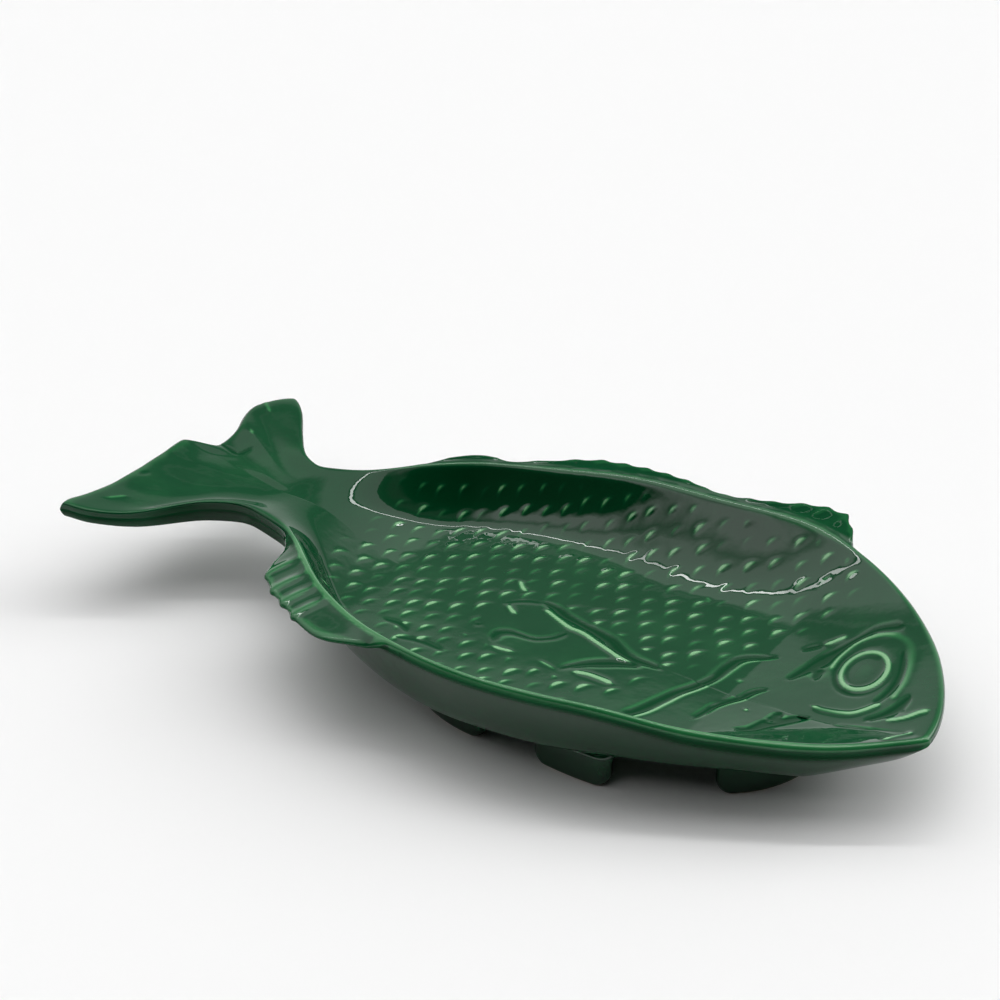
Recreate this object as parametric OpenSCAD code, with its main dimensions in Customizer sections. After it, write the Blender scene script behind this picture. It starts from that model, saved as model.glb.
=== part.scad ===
// Fish-shaped earthenware platter on an interrupted oval foot ring.
// The head points along +X, the back along +Y, and the platter stands on z = 0.
// The body is lofted through cross-sections that fan out round the head.

/* [Body] */
// Length from the tail root to the snout
body_l = 263; // [230:1:300]
// Distance from the snout to the end of the middle line that the cross-sections start from
spine_gap = 49; // [41:1:60]
// Half width of the arched back side
back_w = 84; // [76:1:96]
// Half width of the flatter belly side
belly_w = 70; // [66:1:82]
// How far the snout dips towards the belly
snout_dip = 8; // [0:0.5:14]

/* [Rim and well] */
// Height of the rim amidships
rim_h = 43.5; // [36:0.5:52]
// Thickness of the floor
floor_t = 5; // [4:0.25:7]
// Width of the rounded lip
lip_w = 2; // [1.5:0.25:4]
// How far the outer edge of the lip drops below its crest
lip_drop = 1; // [0.5:0.1:2.5]
// Height of the lip's outer edge
lip_edge_h = 2.5; // [2:0.25:5]
// How much higher that edge is at the tail root
root_edge_h = 5.5; // [0:0.25:6]
// How far the well's wall runs in on the back side
back_run = 22; // [16:0.5:26]
// How far the well's wall runs in on the belly side
belly_run = 17; // [13:0.5:22]
// How far the well's wall runs in at the snout
snout_run = 10.5; // [8:0.5:11]
// How far the outer wall runs in on its way down
outer_run = 13; // [10:0.5:14]
// Depth of the trough at the tail root
trough_d = 5; // [3:0.25:7]
// Length of the ramp from the tail root down to the well
ramp_l = 48; // [36:1:50]
// Length of the head, whose face rises to the snout
head_l = 77; // [71:1:85]
// Rise of the head's face towards the snout
head_rise = 12.5; // [8:0.5:13.5]
// Length of the chin, where the underside rises to the snout
chin_l = 36; // [31:1:37]
// Rise of the underside towards the snout
chin_rise = 12; // [8:0.5:13]

/* [Tail] */
// Length of the tail behind its root
tail_l = 63.5; // [50:0.5:85]
// Half width of the tail's belly lobe
tail_belly_w = 64; // [50:1:76]
// Half width of the tail's back lobe
tail_back_w = 53; // [46:1:70]
// Half width of the narrow tail stem
stem_w = 20; // [18:0.5:24]
// Depth of the fork
fork_d = 11; // [3:0.5:14]
// How much shorter the back lobe is than the belly lobe
lobe_gap = 3.5; // [0:0.5:8]
// How far the belly lobe's tip reaches behind the rear edge
tip_reach = 7.5; // [0:0.5:10]
// How far the back lobe's corner is rounded off
lobe_r = 11; // [6:0.5:16]
// Depth of the crease between the lobes
crease_d = 3; // [1:0.25:4]
// Height of the tail's raised ray ridges
tail_ray_h = 0.5; // [0.3:0.1:1.5]
// Thickness of the tail at its rear edge
tail_t = 4.5; // [3:0.25:6]
// Rise of the tail from its root to its rear edge
tail_rise = 5; // [0:0.25:7]

/* [Fins] */
// Reach of the dorsal fin beyond the rim at its tall end
dorsal_reach = 12.5; // [8:0.5:18]
// Reach of the anal fin beyond the rim
anal_reach = 16; // [8:0.5:20]
// Thickness of the fins at their outer edge
fin_edge_t = 3; // [2:0.25:4]
// Height of the rays on the dorsal fin
dorsal_ray_h = 0.9; // [0.4:0.1:1.5]
// Height of the rays on the anal fin
anal_ray_h = 1.4; // [0.4:0.1:2]
// Rise of the dorsal fin to its outer edge
dorsal_rise = 3; // [0:0.25:5]
// Drop of the anal fin to its outer edge
anal_drop = 2; // [0:0.25:4]
// Backward sweep of the anal fin's rays, over its whole reach
anal_sweep = 9; // [4:0.5:12]
// Number of rays in the dorsal fin
dorsal_rays = 19; // [10:1:24]
// Number of rays in the anal fin
anal_rays = 8; // [3:1:10]

/* [Head] */
// Outer radius of the raised ring round the eye
eye_r = 9.5; // [8:0.25:10.5]
// Width of the raised ring
eye_ring_w = 4; // [3:0.25:5]
// Height of the raised ring
eye_ring_h = 1.8; // [1:0.1:2.5]
// Radius of the pupil
pupil_r = 4.5; // [3:0.25:5]
// Height of the pupil
pupil_h = 1.8; // [1:0.1:2.5]
// Distance of the eye from the snout
eye_back = 39; // [35:1:43]
// Distance of the eye from the middle line, towards the back
eye_up = 24; // [20:0.5:26]
// Depth of the gill and mouth grooves
groove_d = 1.8; // [0.8:0.1:2.2]
// Half width of the gill grooves
groove_w = 8; // [6:0.25:9]
// Distance of the gill opening from the snout
gill_back = 85; // [81:1:91]
// Step from the gill opening to the cheek groove
cheek_step = 23; // [18:1:28]
// Lean of the gill grooves towards the head, over the back's half width
gill_lean = 40; // [20:1:50]
// Distance of the mouth crease from the snout
mouth_back = 23; // [19:1:27]

/* [Pectoral fin] */
// Length of the pectoral fin
pectoral_l = 66; // [50:1:76]
// Half width of the pectoral fin
pectoral_w = 15; // [10:0.5:20]
// Height of the pectoral fin over the floor
pectoral_h = 2.4; // [1.2:0.1:3.5]
// Height of its edge
pectoral_edge = 0.5; // [0.3:0.1:0.8]
// Depth of the furrows between its rays
pectoral_furrow = 0.9; // [0.3:0.1:1.1]
// Number of its furrows on each side of its middle ray
pectoral_rays = 3; // [2:1:4]
// Gap between the pectoral fin's root and the gill opening
pectoral_gap = 18; // [14:1:24]
// How far the pectoral fin lies towards the belly
pectoral_down = 6; // [0:1:14]

/* [Foot ring] */
// Height of the foot ring
foot_h = 14; // [10:0.5:17]
// Thickness of the foot ring where it stands
foot_t = 6; // [5:0.25:8]
// How much each side of the foot ring tapers
foot_taper = 1.6; // [0.5:0.1:2]
// Radius of the tail end of the foot ring
foot_tail_r = 57; // [50:0.5:58]
// Distance of that radius's centre from the tail root
foot_tail_at = 113; // [111:1:118]
// Radius of the head end of the foot ring
foot_head_r = 43; // [36:0.5:45]
// Distance of that radius's centre from the snout
foot_head_back = 85; // [84:1:91]
// Half angle that the head end of the foot ring spans
foot_head_angle = 60; // [40:1:64]
// Radius of the side pieces of the foot ring
foot_side_r = 120; // [100:1:150]
// Half angle that each side piece spans
foot_side_angle = 7.5; // [5:0.25:8]
// How far the foot ring sits towards the back
foot_shift = 3; // [0:0.5:5]

/* [Hidden] */
glaze = [0.10, 0.30, 0.17];
glaze_thin = [0.22, 0.44, 0.27];
glaze_deep = [0.05, 0.16, 0.09];
BELLY = -1;
BACK = 1;
stations = 76;
top_n = 41;
under_n = 21;
tail_stations = 18;
fin_sub = 3;
fin_top_n = 5;
fin_under_n = 3;
leaf_rows = 20;
leaf_n = 21;
under_z = foot_h;
floor_z = foot_h + floor_t;
spine_l = body_l - spine_gap;
head_at = body_l - head_l;
chin_at = body_l - chin_l;
eye_at = body_l - eye_back;
gill_at = body_l - gill_back;
mouth_at = body_l - mouth_back;
foot_head_at = body_l - foot_head_back;
foot_side_at = mix(foot_tail_at, foot_head_at, 0.6);
foot_tail_angle = 90;
dorsal_span = [0.066, 0.513];
dorsal_corner = 0.897;
outer_bow = 2;
anal_span = [0.04, 0.225];

// Smooth curve through evenly spaced values, with t from 0 to 1.
function curve(t, v) =
    let (n = len(v) - 1, k = min(floor(t * n), n - 1), f = t * n - k)
    let (a = v[max(k - 1, 0)], b = v[k], c = v[k + 1], d = v[min(k + 2, n)])
    b + f * (c - a + f * (2 * a - 5 * b + 4 * c - d + f * (3 * (b - c) + d - a))) / 2;
function mix(a, b, t) = a + (b - a) * t;
function clamp01(t) = min(max(t, 0), 1);
function ease(t) = let (c = clamp01(t)) c * c * (3 - 2 * c);
function unit(p) = p / norm(p);

// Outline of the body: s runs from the tail root, 0, to the snout, 1.
function back_share(s) = curve(s, [0.28, 0.655, 0.92, 1.125, 1.425, 1.505, 1.435, 1.23, 1.03]);
function belly_share(s) = curve(s, [0.32, 0.82, 1.12, 1.18, 1.08, 0.93, 0.78, 0.58, 0.475]);
function rim_share(p) = curve(p, [0.83, 0.935, 0.955, 1.0, 1.0, 0.97, 0.83, 0.77, 0.82]);
function half_w(s, side) =
    cos(90 * s) * (side == BACK ? back_w * back_share(s) : belly_w * belly_share(s));
function spine_xy(s) = [spine_l * sin(90 * s), -snout_dip * s * s];
function rim_xy(s, side) = [body_l * sin(90 * s), spine_xy(s).y + side * half_w(s, side)];
function ray_l(s, side) = norm(rim_xy(s, side) - spine_xy(s));
function rim_z(x) = rim_h * rim_share(clamp01(x / body_l));
root_z = rim_z(0);

// Heights of the well's floor and of the underside along the body.
function ramp(x) = 1 - ease(x / ramp_l);
function face_z(x) =
    floor_z + (root_z - trough_d - floor_z) * ramp(x)
    + head_rise * max(x - head_at, 0) / (body_l - head_at);
function base_z(x) =
    under_z + (root_z - trough_d - floor_z) * ramp(x)
    + chin_rise * max(x - chin_at, 0) / (body_l - chin_at);

// Walls: d is the distance in from the outer edge, measured along the cross-section.
function head_blend(x) = ease((x / body_l - 0.5) / 0.3);
function inner_run(x, side) = mix(side == BACK ? back_run : belly_run, snout_run, head_blend(x));
function inner_z(x, d, side) =
    let (t = clamp01(1 - (d - lip_w) / inner_run(x, side)))
    face_z(x) + (rim_z(x) - face_z(x)) * (1 - cos(90 * t))
    - lip_drop * pow(clamp01(1 - d / lip_w), 2);
function edge_h(x) = lip_edge_h + root_edge_h * ramp(x);
function outer_z(x, d) =
    let (t = clamp01(1 - d / outer_run))
    base_z(x) + (rim_z(x) - lip_drop - edge_h(x) - base_z(x)) * pow(t, outer_bow);

// Grooves of the gill opening, the cheek and the mouth, as a depth at a place.
function dent(offset, width) = pow(clamp01(1 - pow(offset / width, 2)), 2);
function fade(y, from, to) = ease((y - from) / groove_w) * ease((to - y) / groove_w);
function gill_x(y) = gill_at + gill_lean * y / back_w;
function groove(x, y) =
    groove_d * max(
        dent(x - gill_x(y), groove_w) * fade(y, -belly_w * 0.46, back_w * 0.36),
        dent(x - gill_x(y) - cheek_step, groove_w) * fade(y, -belly_w * 0.46, back_w * 0.08),
        dent(x - mouth_at - gill_lean * y / back_w, groove_w) * fade(y, -belly_w * 0.2, back_w * 0.2));

// Points of the body's skins, with v from the belly edge, -1, to the back edge, 1.
function side_of(v) = v < 0 ? BELLY : BACK;
function skin_xy(s, v) = mix(spine_xy(s), rim_xy(s, side_of(v)), abs(v));
function skin_d(s, v) = (1 - abs(v)) * ray_l(s, side_of(v));
function top_pt(s, v) =
    let (p = skin_xy(s, v))
    [p.x, p.y, inner_z(p.x, skin_d(s, v), side_of(v)) - groove(p.x, p.y)];
function under_pt(s, v) =
    let (p = skin_xy(s, v))
    [p.x, p.y, outer_z(p.x, skin_d(s, v))];
function spread(k, n) = let (u = 2 * k / (n - 1) - 1) mix(u, sin(90 * u), 0.55);
function body_ring(s) = concat(
    [for (k = [0:top_n - 1]) top_pt(s, spread(k, top_n))],
    [for (k = [under_n - 1:-1:0]) under_pt(s, spread(k, under_n))]);

// A closed skin through rings of equal length; caps of flat rings are single faces.
// The first few quads of each ring are split along their other diagonal.
function wall_faces(rings, n, other = 0) = [
    for (i = [0:rings - 2], k = [0:n - 1], h = [0, 1])
        let (a = i * n + k, b = i * n + (k + 1) % n)
        k < other ? (h == 0 ? [a, b, b + n] : [a, b + n, a + n])
                  : (h == 0 ? [a, b, a + n] : [b, b + n, a + n])];
function first_cap(n) = [[for (k = [n - 1:-1:0]) k]];
function last_cap(rings, n) = [[for (k = [0:n - 1]) (rings - 1) * n + k]];
function joined(rings) = [for (r = rings, p = r) p];
function turned(faces) = [for (f = faces) [for (k = [len(f) - 1:-1:0]) f[k]]];

// The last ring of the body is folded on itself: both of its halves share their points.
ring_n = top_n + under_n;
function folded(k) = k < top_n ? min(k, top_n - 1 - k) : top_n + min(k - top_n, ring_n - 1 - k);
function fold_face(f) = [for (q = f) q < stations * ring_n ? q
                                     : stations * ring_n + folded(q - stations * ring_n)];
function is_real(f) = f[0] != f[1] && f[1] != f[2] && f[2] != f[0];

module dish() {
    rings = [for (i = [0:stations]) body_ring(i / stations)];
    walls = wall_faces(stations + 1, ring_n, floor(top_n / 2));
    faces = [for (f = walls) let (g = fold_face(f)) if (is_real(g)) g];
    color(glaze)
        centred()
            polyhedron(joined(rings), concat(first_cap(ring_n), faces), convexity = 8);
}

// Tail: t runs from the root, 0, to the rear edge, 1, which is forked and has round lobes.
fork_v = 0.15;
function tail_belly_share(t) = curve(t, [0, 0.00, 0.25, 0.74, 0.96, 1.00]);
function tail_back_share(t) = curve(t, [0, 0.00, 0.11, 0.43, 0.79, 1.00]);
function rear_x(v) =
    -tail_l + fork_d * dent(v - fork_v, v < fork_v ? 0.16 : 0.4) + lobe_gap * ease((v - fork_v) / 0.3)
    + (v < 0 ? -tip_reach * pow(v, 6) : lobe_r * pow(v, 10));
function tail_half(t, side) =
    let (root = mix(half_w(0, side), stem_w, ease(t / 0.25)))
    side == BELLY ? mix(root, tail_belly_w, tail_belly_share(t))
                  : mix(root, tail_back_w, tail_back_share(t));
function tail_rays(v) = cos(360 * v * 4);
function tail_top_z(t, v) =
    let (flat = root_z - trough_d * mix(1, 0.15, t) * (1 - pow(abs(v), 3)))
    flat + tail_rise * ease(t) - crease_d * dent(v - fork_v, 0.3) * ease((t - 0.35) / 0.6)
    + tail_ray_h * tail_rays(v) * ease((t - 0.4) / 0.4) * (1 - pow(abs(v), 4))
    - lip_drop * pow(abs(v), 12) - lip_drop * pow(t, 16);
function tail_under_z(t, v) =
    tail_top_z(t, v) - mix(edge_h(0), tail_t, ease((t - 0.25) / 0.5))
    - floor_t * 0.2 * (1 - v * v) * (1 - t);
function tail_xy(t, v) = [mix(0, rear_x(v), t), v * tail_half(t, side_of(v))];
function tail_ring(t) = concat(
    [for (k = [0:top_n - 1]) let (v = spread(k, top_n), p = tail_xy(t, v))
        [p.x, p.y, tail_top_z(t, v)]],
    [for (k = [under_n - 1:-1:0]) let (v = spread(k, under_n), p = tail_xy(t, v))
        [p.x, p.y, tail_under_z(t, v)]]);
// Rings start as the body's own first ring and turn into the tail's within its root.
function joined_ring(t) =
    let (body = body_ring(0), tail = tail_ring(t), w = ease(t / 0.3))
    [for (k = [0:ring_n - 1]) [tail[k].x, tail[k].y, mix(body[k].z, tail[k].z, w)]];
// The rear face joins the upper edge to the lower one, which has half as many points.
function rear_faces(at) = [
    for (j = [0:under_n - 2], h = [0:2])
        let (a = at + 2 * j, b = at + ring_n - 1 - j)
        h == 0 ? [a, a + 1, b] : h == 1 ? [a + 1, a + 2, b - 1] : [a + 1, b - 1, b]];

tail_rings = [for (i = [0:tail_stations]) joined_ring(i / tail_stations)];
module tail_fin() {
    faces = concat(first_cap(ring_n), wall_faces(tail_stations + 1, ring_n),
                   rear_faces(tail_stations * ring_n));
    color(glaze)
        centred()
            polyhedron(joined(tail_rings), turned(faces), convexity = 8);
}

// Fins stand on the lip's outer edge and share its points, so that they meet it face to face.
function edge_at(i, f, side, under) =
    let (a = i / stations, b = min(i + 1, stations) / stations)
    let (p = under ? under_pt(a, side) : top_pt(a, side))
    let (q = under ? under_pt(b, side) : top_pt(b, side))
    mix(p, q, f);
function out_dir(s, side) = unit(rim_xy(s, side) - spine_xy(s));
// A fin's reach follows its curve up to its corner, and falls away straight behind it.
function bell_share(t, bell, corner) =
    curve(min(t / corner, 1), bell) * (corner < 1 ? mix(1, clamp01((1 - t) / (1 - corner)), 0.96) : 1);
function fin_ring(k, first, n, side, reach, sweep, rise, ray_h, rays, bell, corner) =
    let (i = first + floor(k / fin_sub), f = (k % fin_sub) / fin_sub, t = k / n)
    let (top = edge_at(i, f, side, false), low = edge_at(i, f, side, true))
    let (out = out_dir((i + f) / stations, side), wave = cos(360 * rays * t))
    let (share = bell_share(t, bell, corner))
    let (r = reach * share * (1 + 0.08 * wave), back = -sweep * share)
    let (grown = clamp01(r * 4 / reach))
    concat(
        [for (j = [0:fin_top_n - 1]) let (u = j / (fin_top_n - 1))
            [top.x + out.x * r * u + back * u, top.y + out.y * r * u,
             top.z + grown * (rise * u + ray_h * (0.5 + 0.5 * wave) * sin(180 * min(u, 0.8)))]],
        [for (j = [fin_under_n - 1:-1:0]) let (u = j / (fin_under_n - 1))
            [low.x + out.x * r * u + back * u, low.y + out.y * r * u,
             mix(low.z, top.z + grown * rise - fin_edge_t, ease(u))]]);
function fin_rings(span, side, reach, sweep, rise, ray_h, rays, bell, corner) =
    let (first = round(span[0] * stations), n = (round(span[1] * stations) - first) * fin_sub)
    [for (k = [0:n]) fin_ring(k, first, n, side, reach, sweep, rise, ray_h, rays, bell, corner)];
dorsal_bell = [0.08, 0.42, 0.15, 0.34, 0.64, 0.58, 0.45, 0.33, 0.19, 0.20, 0.42, 0.86, 1.00];
anal_bell = [0.12, 0.82, 0.92, 0.86, 0.89, 0.82, 0.46, 0.15];
dorsal_rings = fin_rings(dorsal_span, BACK, dorsal_reach, 0, dorsal_rise, dorsal_ray_h,
                         dorsal_rays, dorsal_bell, dorsal_corner);
anal_rings = fin_rings(anal_span, BELLY, anal_reach, anal_sweep, -anal_drop, anal_ray_h,
                       anal_rays, anal_bell, 1);
module fin(rings, side) {
    ring = fin_top_n + fin_under_n;
    faces = concat(first_cap(ring), wall_faces(len(rings), ring), last_cap(len(rings), ring));
    polyhedron(joined(rings), side == BACK ? faces : turned(faces), convexity = 8);
}
module dorsal_fin() {
    color(glaze_thin)
        centred()
            fin(dorsal_rings, BACK);
}
module anal_fin() {
    color(glaze_thin)
        centred()
            fin(anal_rings, BELLY);
}

// Pectoral fin: a low fan of rays on the flat floor, from its root to its spread tip.
function leaf_w_share(t) = curve(t, [0.10, 0.42, 0.72, 0.92, 1.00, 0.96, 0.74]);
function leaf_dome(t, v) = sqrt(clamp01(1 - v * v) * sin(180 * mix(0.06, 0.97, t)));
function leaf_z(t, v) =
    let (furrow = pectoral_furrow * (0.5 - 0.5 * cos(360 * pectoral_rays * v)) * ease(t * 2))
    pectoral_edge + (pectoral_h - pectoral_edge - furrow) * leaf_dome(t, v);
function leaf_ring(t) =
    let (x = gill_at - pectoral_gap - pectoral_l * t, w = pectoral_w * leaf_w_share(t))
    let (y = -pectoral_down)
    concat([for (j = [0:leaf_n - 1]) let (v = spread(j, leaf_n)) [x, y + v * w, floor_z + leaf_z(t, v)]],
           [[x, y + w, floor_z], [x, y - w, floor_z]]);
module pectoral_fin() {
    rings = [for (i = [0:leaf_rows]) leaf_ring(i / leaf_rows)];
    n = leaf_n + 2;
    faces = concat(first_cap(n), wall_faces(leaf_rows + 1, n), last_cap(leaf_rows + 1, n));
    color(glaze_thin)
        centred()
            polyhedron(joined(rings), turned(faces), convexity = 8);
}

// Eye: a half-round ring and a domed pupil, both seated on the sloping face of the head.
face_slope = atan(head_rise / (body_l - head_at));
module on_face(x, y) {
    centred()
        translate([x, y, face_z(x)])
            rotate([0, -face_slope, 0])
                children();
}
module domed(r, h) {
    ball = (r * r + h * h) / (2 * h);
    intersection() {
        translate([0, h - ball])
            circle(r = ball, $fn = 96);
        square([r, h]);
    }
}
module eye_ring() {
    half = eye_ring_w / 2;
    ball = (half * half + eye_ring_h * eye_ring_h) / (2 * eye_ring_h);
    color(glaze_thin)
        on_face(eye_at, eye_up)
            rotate_extrude($fn = 96)
                translate([eye_r - half, 0])
                    intersection() {
                        translate([0, eye_ring_h - ball])
                            circle(r = ball, $fn = 96);
                        translate([-half, 0])
                            square([eye_ring_w, eye_ring_h]);
                    }
}
module eye_pupil() {
    color(glaze_thin)
        on_face(eye_at, eye_up)
            rotate_extrude($fn = 96)
                domed(pupil_r, pupil_h);
}

// Foot ring: four separate arcs of one tapered section, wider where they meet the body.
module foot_arc(r, half) {
    rotate([0, 0, -half])
        rotate_extrude(angle = 2 * half, $fn = 180)
            polygon([[r - foot_taper, 0], [r, foot_h], [r - foot_t - 2 * foot_taper, foot_h],
                     [r - foot_t - foot_taper, 0]]);
}
module foot_tail() {
    color(glaze_deep)
        centred()
            translate([foot_tail_at, foot_shift, 0])
                rotate([0, 0, 180])
                    foot_arc(foot_tail_r, foot_tail_angle);
}
module foot_head() {
    color(glaze_deep)
        centred()
            translate([foot_head_at, foot_shift, 0])
                foot_arc(foot_head_r, foot_head_angle);
}
module foot_side(side) {
    color(glaze_deep)
        centred()
            translate([foot_side_at, foot_shift - side * (foot_side_r - foot_tail_r), 0])
                rotate([0, 0, side * 90])
                    foot_arc(foot_side_r, foot_side_angle);
}
module foot_belly() {
    foot_side(BELLY);
}
module foot_back() {
    foot_side(BACK);
}

// The platter is centred over the origin by its own extents, tail and fins included.
function xs(rings) = [for (p = joined(rings)) p.x];
function ys(rings) = [for (p = joined(rings)) p.y];
belly_line = [[for (i = [0:stations]) rim_xy(i / stations, BELLY)]];
mid_x = (body_l + min(xs(tail_rings))) / 2;
mid_y = (max(ys(dorsal_rings)) + min(concat(ys(anal_rings), ys(belly_line), ys(tail_rings)))) / 2;
module centred() {
    translate([-mid_x, -mid_y, 0])
        children();
}

dish();
tail_fin();
dorsal_fin();
anal_fin();
pectoral_fin();
eye_ring();
eye_pupil();
foot_tail();
foot_belly();
foot_head();
foot_back();
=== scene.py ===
"""Glazed earthenware fish platter: the moulded dish with its fins, its relief and its foot ring.

Sizes are in millimetres in the platter's own frame: x runs from the tail root, 0, to the snout,
y runs from the middle line to the back, and the platter stands on z = 0. Names that end in _in
say where a form sets in and over how much it grows to its full size. Names that end in _ends hold
the two values between which a light or a colour changes.
"""
import logging
import math
from dataclasses import dataclass, field
from enum import Enum, IntEnum
from typing import Sequence

import bpy
import numpy as np
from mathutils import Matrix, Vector


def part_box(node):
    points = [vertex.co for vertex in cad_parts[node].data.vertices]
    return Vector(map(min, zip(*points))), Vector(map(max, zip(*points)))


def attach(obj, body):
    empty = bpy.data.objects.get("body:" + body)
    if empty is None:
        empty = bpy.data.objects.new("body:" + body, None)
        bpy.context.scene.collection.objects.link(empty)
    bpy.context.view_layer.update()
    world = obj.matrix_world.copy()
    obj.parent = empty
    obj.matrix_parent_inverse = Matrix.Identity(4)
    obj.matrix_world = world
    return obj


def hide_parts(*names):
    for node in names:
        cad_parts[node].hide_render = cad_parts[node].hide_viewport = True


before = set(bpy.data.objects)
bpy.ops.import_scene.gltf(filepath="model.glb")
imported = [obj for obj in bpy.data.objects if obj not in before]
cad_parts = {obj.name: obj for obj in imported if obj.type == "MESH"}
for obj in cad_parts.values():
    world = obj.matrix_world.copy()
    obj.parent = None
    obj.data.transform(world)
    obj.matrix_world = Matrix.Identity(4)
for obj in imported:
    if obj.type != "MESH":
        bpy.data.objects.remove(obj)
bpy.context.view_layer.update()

LOG = logging.getLogger("platter")
MM = 0.001
HALF_TURN = 180.0
TINY = 1e-6
# Pull towards the neighbours in one round of smoothing, at most, so that the rounds stay stable.
MOST_PULL = 0.25
# Columns of the ring points after x, y and z.
PAST, UPPER = 3, 4
Span = tuple[float, float]
Tree = bpy.types.NodeTree
Socket = bpy.types.NodeSocket
Points = Sequence[tuple[float, ...]]


class Side(IntEnum):
    """The two sides of the fish's middle line."""

    BELLY = -1
    BACK = 1


class Part(Enum):
    """The pieces that the moulded skin is divided into, by the names of their CAD nodes."""

    DISH = "dish"
    TAIL = "tail_fin"
    DORSAL = "dorsal_fin"
    ANAL = "anal_fin"
    PECTORAL = "pectoral_fin"
    EYE_RING = "eye_ring"
    EYE_PUPIL = "eye_pupil"

    @property
    def number(self) -> int:
        """Place of the piece in this list."""
        return list(Part).index(self)


def mix(a: np.ndarray, b: np.ndarray, t: np.ndarray) -> np.ndarray:
    """Returns the value between a and b at the share t."""
    return a + (b - a) * t


def clamp(t: np.ndarray) -> np.ndarray:
    """Returns t held between 0 and 1."""
    return np.clip(t, 0.0, 1.0)


def ease(t: np.ndarray) -> np.ndarray:
    """Returns a smooth step from 0 to 1 over t from 0 to 1."""
    c = clamp(t)
    return c * c * (3.0 - 2.0 * c)


def grow(t: np.ndarray, span: Span) -> np.ndarray:
    """Returns a smooth step that sets in at the span's first value and grows over its second."""
    return ease((t - span[0]) / span[1])


def bell(offset: np.ndarray, width: float) -> np.ndarray:
    """Returns a smooth bump, 1 at offset 0 and 0 from the offset width on."""
    return clamp(1.0 - (offset / width) ** 2) ** 2


def peak(offset: np.ndarray, width: np.ndarray, crisp: float = 2.0) -> np.ndarray:
    """Returns a bump that fades out past the offset width, the steeper the crisper it is."""
    return np.exp(-(offset / width) ** crisp)


def steps(count: int) -> np.ndarray:
    """Returns so many even shares from 0 on, without the one at 1."""
    return np.linspace(0.0, 1.0, count, endpoint=False)


def curve(t: np.ndarray, values: Sequence[float]) -> np.ndarray:
    """Smooth Catmull-Rom curve through evenly spaced values.

    Args:
        t: Places along the curve, from 0 to 1.
        values: Values that the curve passes through.

    Returns:
        The curve's values at t.
    """
    v = np.asarray(values, float)
    last = len(v) - 1
    t = clamp(np.asarray(t, float))
    k = np.minimum(np.floor(t * last), last - 1).astype(int)
    f = t * last - k
    a, b = v[np.maximum(k - 1, 0)], v[k]
    c, d = v[k + 1], v[np.minimum(k + 2, last)]
    return b + f * (c - a + f * (2 * a - 5 * b + 4 * c - d + f * (3 * (b - c) + d - a))) / 2


def linear(hex_colour: str) -> tuple[float, float, float, float]:
    """Turns an sRGB hex colour into linear light.

    Args:
        hex_colour: Colour such as "#1f4a33".

    Returns:
        Linear red, green, blue and an alpha of 1.
    """
    parts = [int(hex_colour[k:k + 2], 16) / 255 for k in (1, 3, 5)]
    light = [c / 12.92 if c <= 0.04045 else ((c + 0.055) / 1.055) ** 2.4 for c in parts]
    return light[0], light[1], light[2], 1.0


def grey(level: float) -> tuple[float, float, float, float]:
    """Returns a grey of this brightness in linear light, with an alpha of 1."""
    return level, level, level, 1.0


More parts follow.
